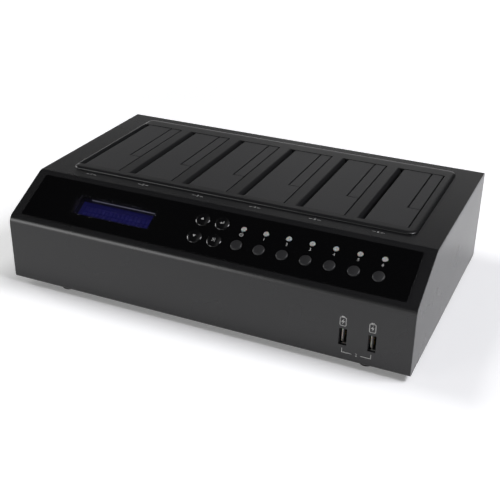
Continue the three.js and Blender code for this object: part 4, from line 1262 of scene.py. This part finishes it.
class DUPLICATOR_OT_stage(bpy.types.Operator):
    """Set the camera, the pale floor, the softboxes and the sky"""

    bl_idname = "duplicator.stage"
    bl_label = "Stage"

    def execute(self, context):
        context.scene.view_settings.view_transform = "Standard"
        self.add_camera(context.scene)
        self.add_floor(context.scene.duplicator_stage)
        self.add_sky(context.scene)
        for softbox in SOFTBOXES:
            self.add_softbox(*softbox)
        return {"FINISHED"}

    def add_camera(self, scene):
        """Stands the camera back from the point that it looks at, along the line of sight, with a slight roll."""
        view = scene.duplicator_stage
        level = Vector((math.cos(view.azimuth), math.sin(view.azimuth), 0))
        back = way_to(view.azimuth, view.elevation)
        upright = back.cross(level)
        right = math.cos(view.roll) * level + math.sin(view.roll) * upright
        up = back.cross(right)
        lens = bpy.data.cameras.new("camera")
        lens.lens = view.lens
        lens.sensor_width = SENSOR_WIDTH
        lens.clip_start = 0.01
        lens.clip_end = 50
        camera = put("camera", lens)
        turn = Matrix((right, up, back)).transposed().to_4x4()
        camera.matrix_world = Matrix.Translation(CAMERA_TARGET + back * view.distance) @ turn
        scene.camera = camera

    def add_floor(self, stage):
        """A square floor, soft grey to the light that it passes on and pale to the eye."""
        half = stage.floor_width / 2
        bm = bmesh.new()
        bm.faces.new([bm.verts.new((x, y, 0)) for x, y in rectangle(-half, -half, half, half)])
        mesh = bpy.data.meshes.new("floor")
        bm.to_mesh(mesh)
        bm.free()
        mesh.materials.append(self.pale_floor(stage.floor))
        put("floor", mesh)

    def pale_floor(self, base):
        """Painted board: it keeps the shadow, and what the eye or a mirror sees of it is near white, but for a
        painted shadow round the object.
        """
        made = bpy.data.materials.new("pale painted floor")
        made.use_nodes = True
        tree = made.node_tree
        tree.nodes.clear()
        plain = add_node(tree, "ShaderNodeBsdfDiffuse", {"Color": (*base, 1)})
        seen = add_node(tree, "ShaderNodeBsdfDiffuse", {"Color": (0.95, 0.95, 0.95, 1)})
        # The glow is dim close to the object and bright further off: a painted shadow round the object.
        glow = add_node(
            tree, "ShaderNodeEmission", {"Color": (1, 1, 1, 1)}, {"Strength": self.floor_glow(tree)},
        )
        bright = add_node(tree, "ShaderNodeAddShader", links={0: seen.outputs[0], 1: glow.outputs[0]})
        path = add_node(tree, "ShaderNodeLightPath")
        eye = path.outputs["Is Camera Ray"]
        for ray in ("Is Glossy Ray", "Is Transmission Ray"):
            eye = add_node(
                tree, "ShaderNodeMath", links={0: eye, 1: path.outputs[ray]}, operation="MAXIMUM",
            ).outputs[0]
        mixed = add_node(
            tree, "ShaderNodeMixShader", links={0: eye, 1: plain.outputs[0], 2: bright.outputs[0]},
        )
        add_node(tree, "ShaderNodeOutputMaterial", links={"Surface": mixed.outputs[0]})
        return made

    def floor_glow(self, tree):
        """How white the board shows, which grows with the distance from what stands on it: a painted shadow round
        the object.
        """
        place = add_node(tree, "ShaderNodeTexCoord")
        step = place.outputs["Object"]
        for operation, inputs in (
            ("SUBTRACT", {1: PAINTED_SHADOW_MIDDLE}), ("ABSOLUTE", {}), ("SUBTRACT", {1: PAINTED_SHADOW_HALF}),
            ("MAXIMUM", {1: (0, 0, 0)}), ("LENGTH", {}),
        ):
            distance = add_node(tree, "ShaderNodeVectorMath", inputs, {0: step}, operation=operation)
            step = distance.outputs[0]
        return add_levels(tree, distance.outputs["Value"], FLOOR_GLOW_WITH_PAINTED_SHADOW)

    def add_sky(self, scene):
        """A room with a bright wall low down on the left and a dim light overhead on the right."""
        world = bpy.data.worlds.new("studio room")
        world.use_nodes = True
        tree = world.node_tree
        tree.nodes.clear()
        place = add_node(tree, "ShaderNodeTexCoord")
        way = add_node(tree, "ShaderNodeSeparateXYZ", links={"Vector": place.outputs["Generated"]})
        side = add_node(
            tree, "ShaderNodeMapRange", {"From Min": -SKY_BLEND, "From Max": SKY_BLEND},
            {"Value": way.outputs["X"]}, interpolation_type="SMOOTHSTEP",
        )
        both = add_node(tree, "ShaderNodeMixRGB", links={
            "Fac": side.outputs["Result"],
            "Color1": add_levels(tree, way.outputs["Z"], SKY_LEFT),
            "Color2": add_levels(tree, way.outputs["Z"], SKY_RIGHT),
        })
        room = add_node(
            tree, "ShaderNodeBackground", {"Strength": SKY_STRENGTH}, {"Color": both.outputs["Color"]},
        )
        add_node(tree, "ShaderNodeOutputWorld", links={"Surface": room.outputs["Background"]})
        scene.world = world

    def add_softbox(self, name, turn, rise, power, code):
        """A rectangular softbox that faces the object from a fixed distance."""
        lamp = bpy.data.lights.new(f"softbox_{name}", "AREA")
        lamp.shape = "RECTANGLE"
        lamp.size = SOFTBOX_WIDTH
        lamp.size_y = SOFTBOX_HEIGHT
        lamp.energy = power
        lamp.color = from_hex(code)
        softbox = put(f"softbox_{name}", lamp)
        softbox.location = way_to(math.radians(turn), math.radians(rise)) * SOFTBOX_DISTANCE
        softbox.rotation_euler = (softbox.location - SOFTBOX_AIM).to_track_quat("Z", "Y").to_euler()


def way_to(turn, rise):
    """The way to a place round to the right of the front and up from level, by two angles."""
    return Vector((math.sin(turn) * math.cos(rise), -math.cos(turn) * math.cos(rise), math.sin(rise)))


def add_levels(tree, source, levels):
    """A ramp of greys, from pairs of position and grey."""
    ramp = add_node(tree, "ShaderNodeValToRGB", links={"Fac": source})
    elements = ramp.color_ramp.elements
    while len(elements) < len(levels):
        elements.new(0.5)
    for element, (position, grey) in zip(elements, levels):
        element.position = position
        element.color = (grey, grey, grey, 1)
    return ramp.outputs["Color"]


# The add-on

GROUPS = {
    "duplicator_sizes": DuplicatorSizes,
    "duplicator_colours": DuplicatorColours,
    "duplicator_stage": DuplicatorStage,
}

PIECES = (
    DUPLICATOR_OT_casing,
    DUPLICATOR_OT_bay_frame,
    DUPLICATOR_OT_bay_covers,
    DUPLICATOR_OT_control_panel,
    DUPLICATOR_OT_lamps,
    DUPLICATOR_OT_round_buttons,
    DUPLICATOR_OT_navigation_buttons,
    DUPLICATOR_OT_panel_marks,
    DUPLICATOR_OT_bay_numbers,
    DUPLICATOR_OT_front_ports,
    DUPLICATOR_OT_rear_sockets,
    DUPLICATOR_OT_boards,
    DUPLICATOR_OT_feet,
    DUPLICATOR_OT_stage,
)


class DUPLICATOR_PT_panel(bpy.types.Panel):
    bl_idname = "DUPLICATOR_PT_panel"
    bl_label = "Hard drive duplicator"
    bl_space_type = "VIEW_3D"
    bl_region_type = "UI"
    bl_category = "Duplicator"

    def draw(self, context):
        for group in GROUPS:
            column = self.layout.column()
            for name in GROUPS[group].__annotations__:
                column.prop(getattr(context.scene, group), name)
        for operator in PIECES:
            self.layout.operator(operator.bl_idname)


CLASSES = (*GROUPS.values(), *PIECES, DUPLICATOR_PT_panel)


def register():
    for kind in CLASSES:
        bpy.utils.register_class(kind)
    for name, kind in GROUPS.items():
        setattr(bpy.types.Scene, name, PointerProperty(type=kind))


def unregister():
    for name in GROUPS:
        delattr(bpy.types.Scene, name)
    for kind in reversed(CLASSES):
        bpy.utils.unregister_class(kind)


def main():
    register()
    for operator in PIECES:
        group, name = operator.bl_idname.split(".")
        getattr(getattr(bpy.ops, group), name)()


if __name__ == "__main__":
    main()
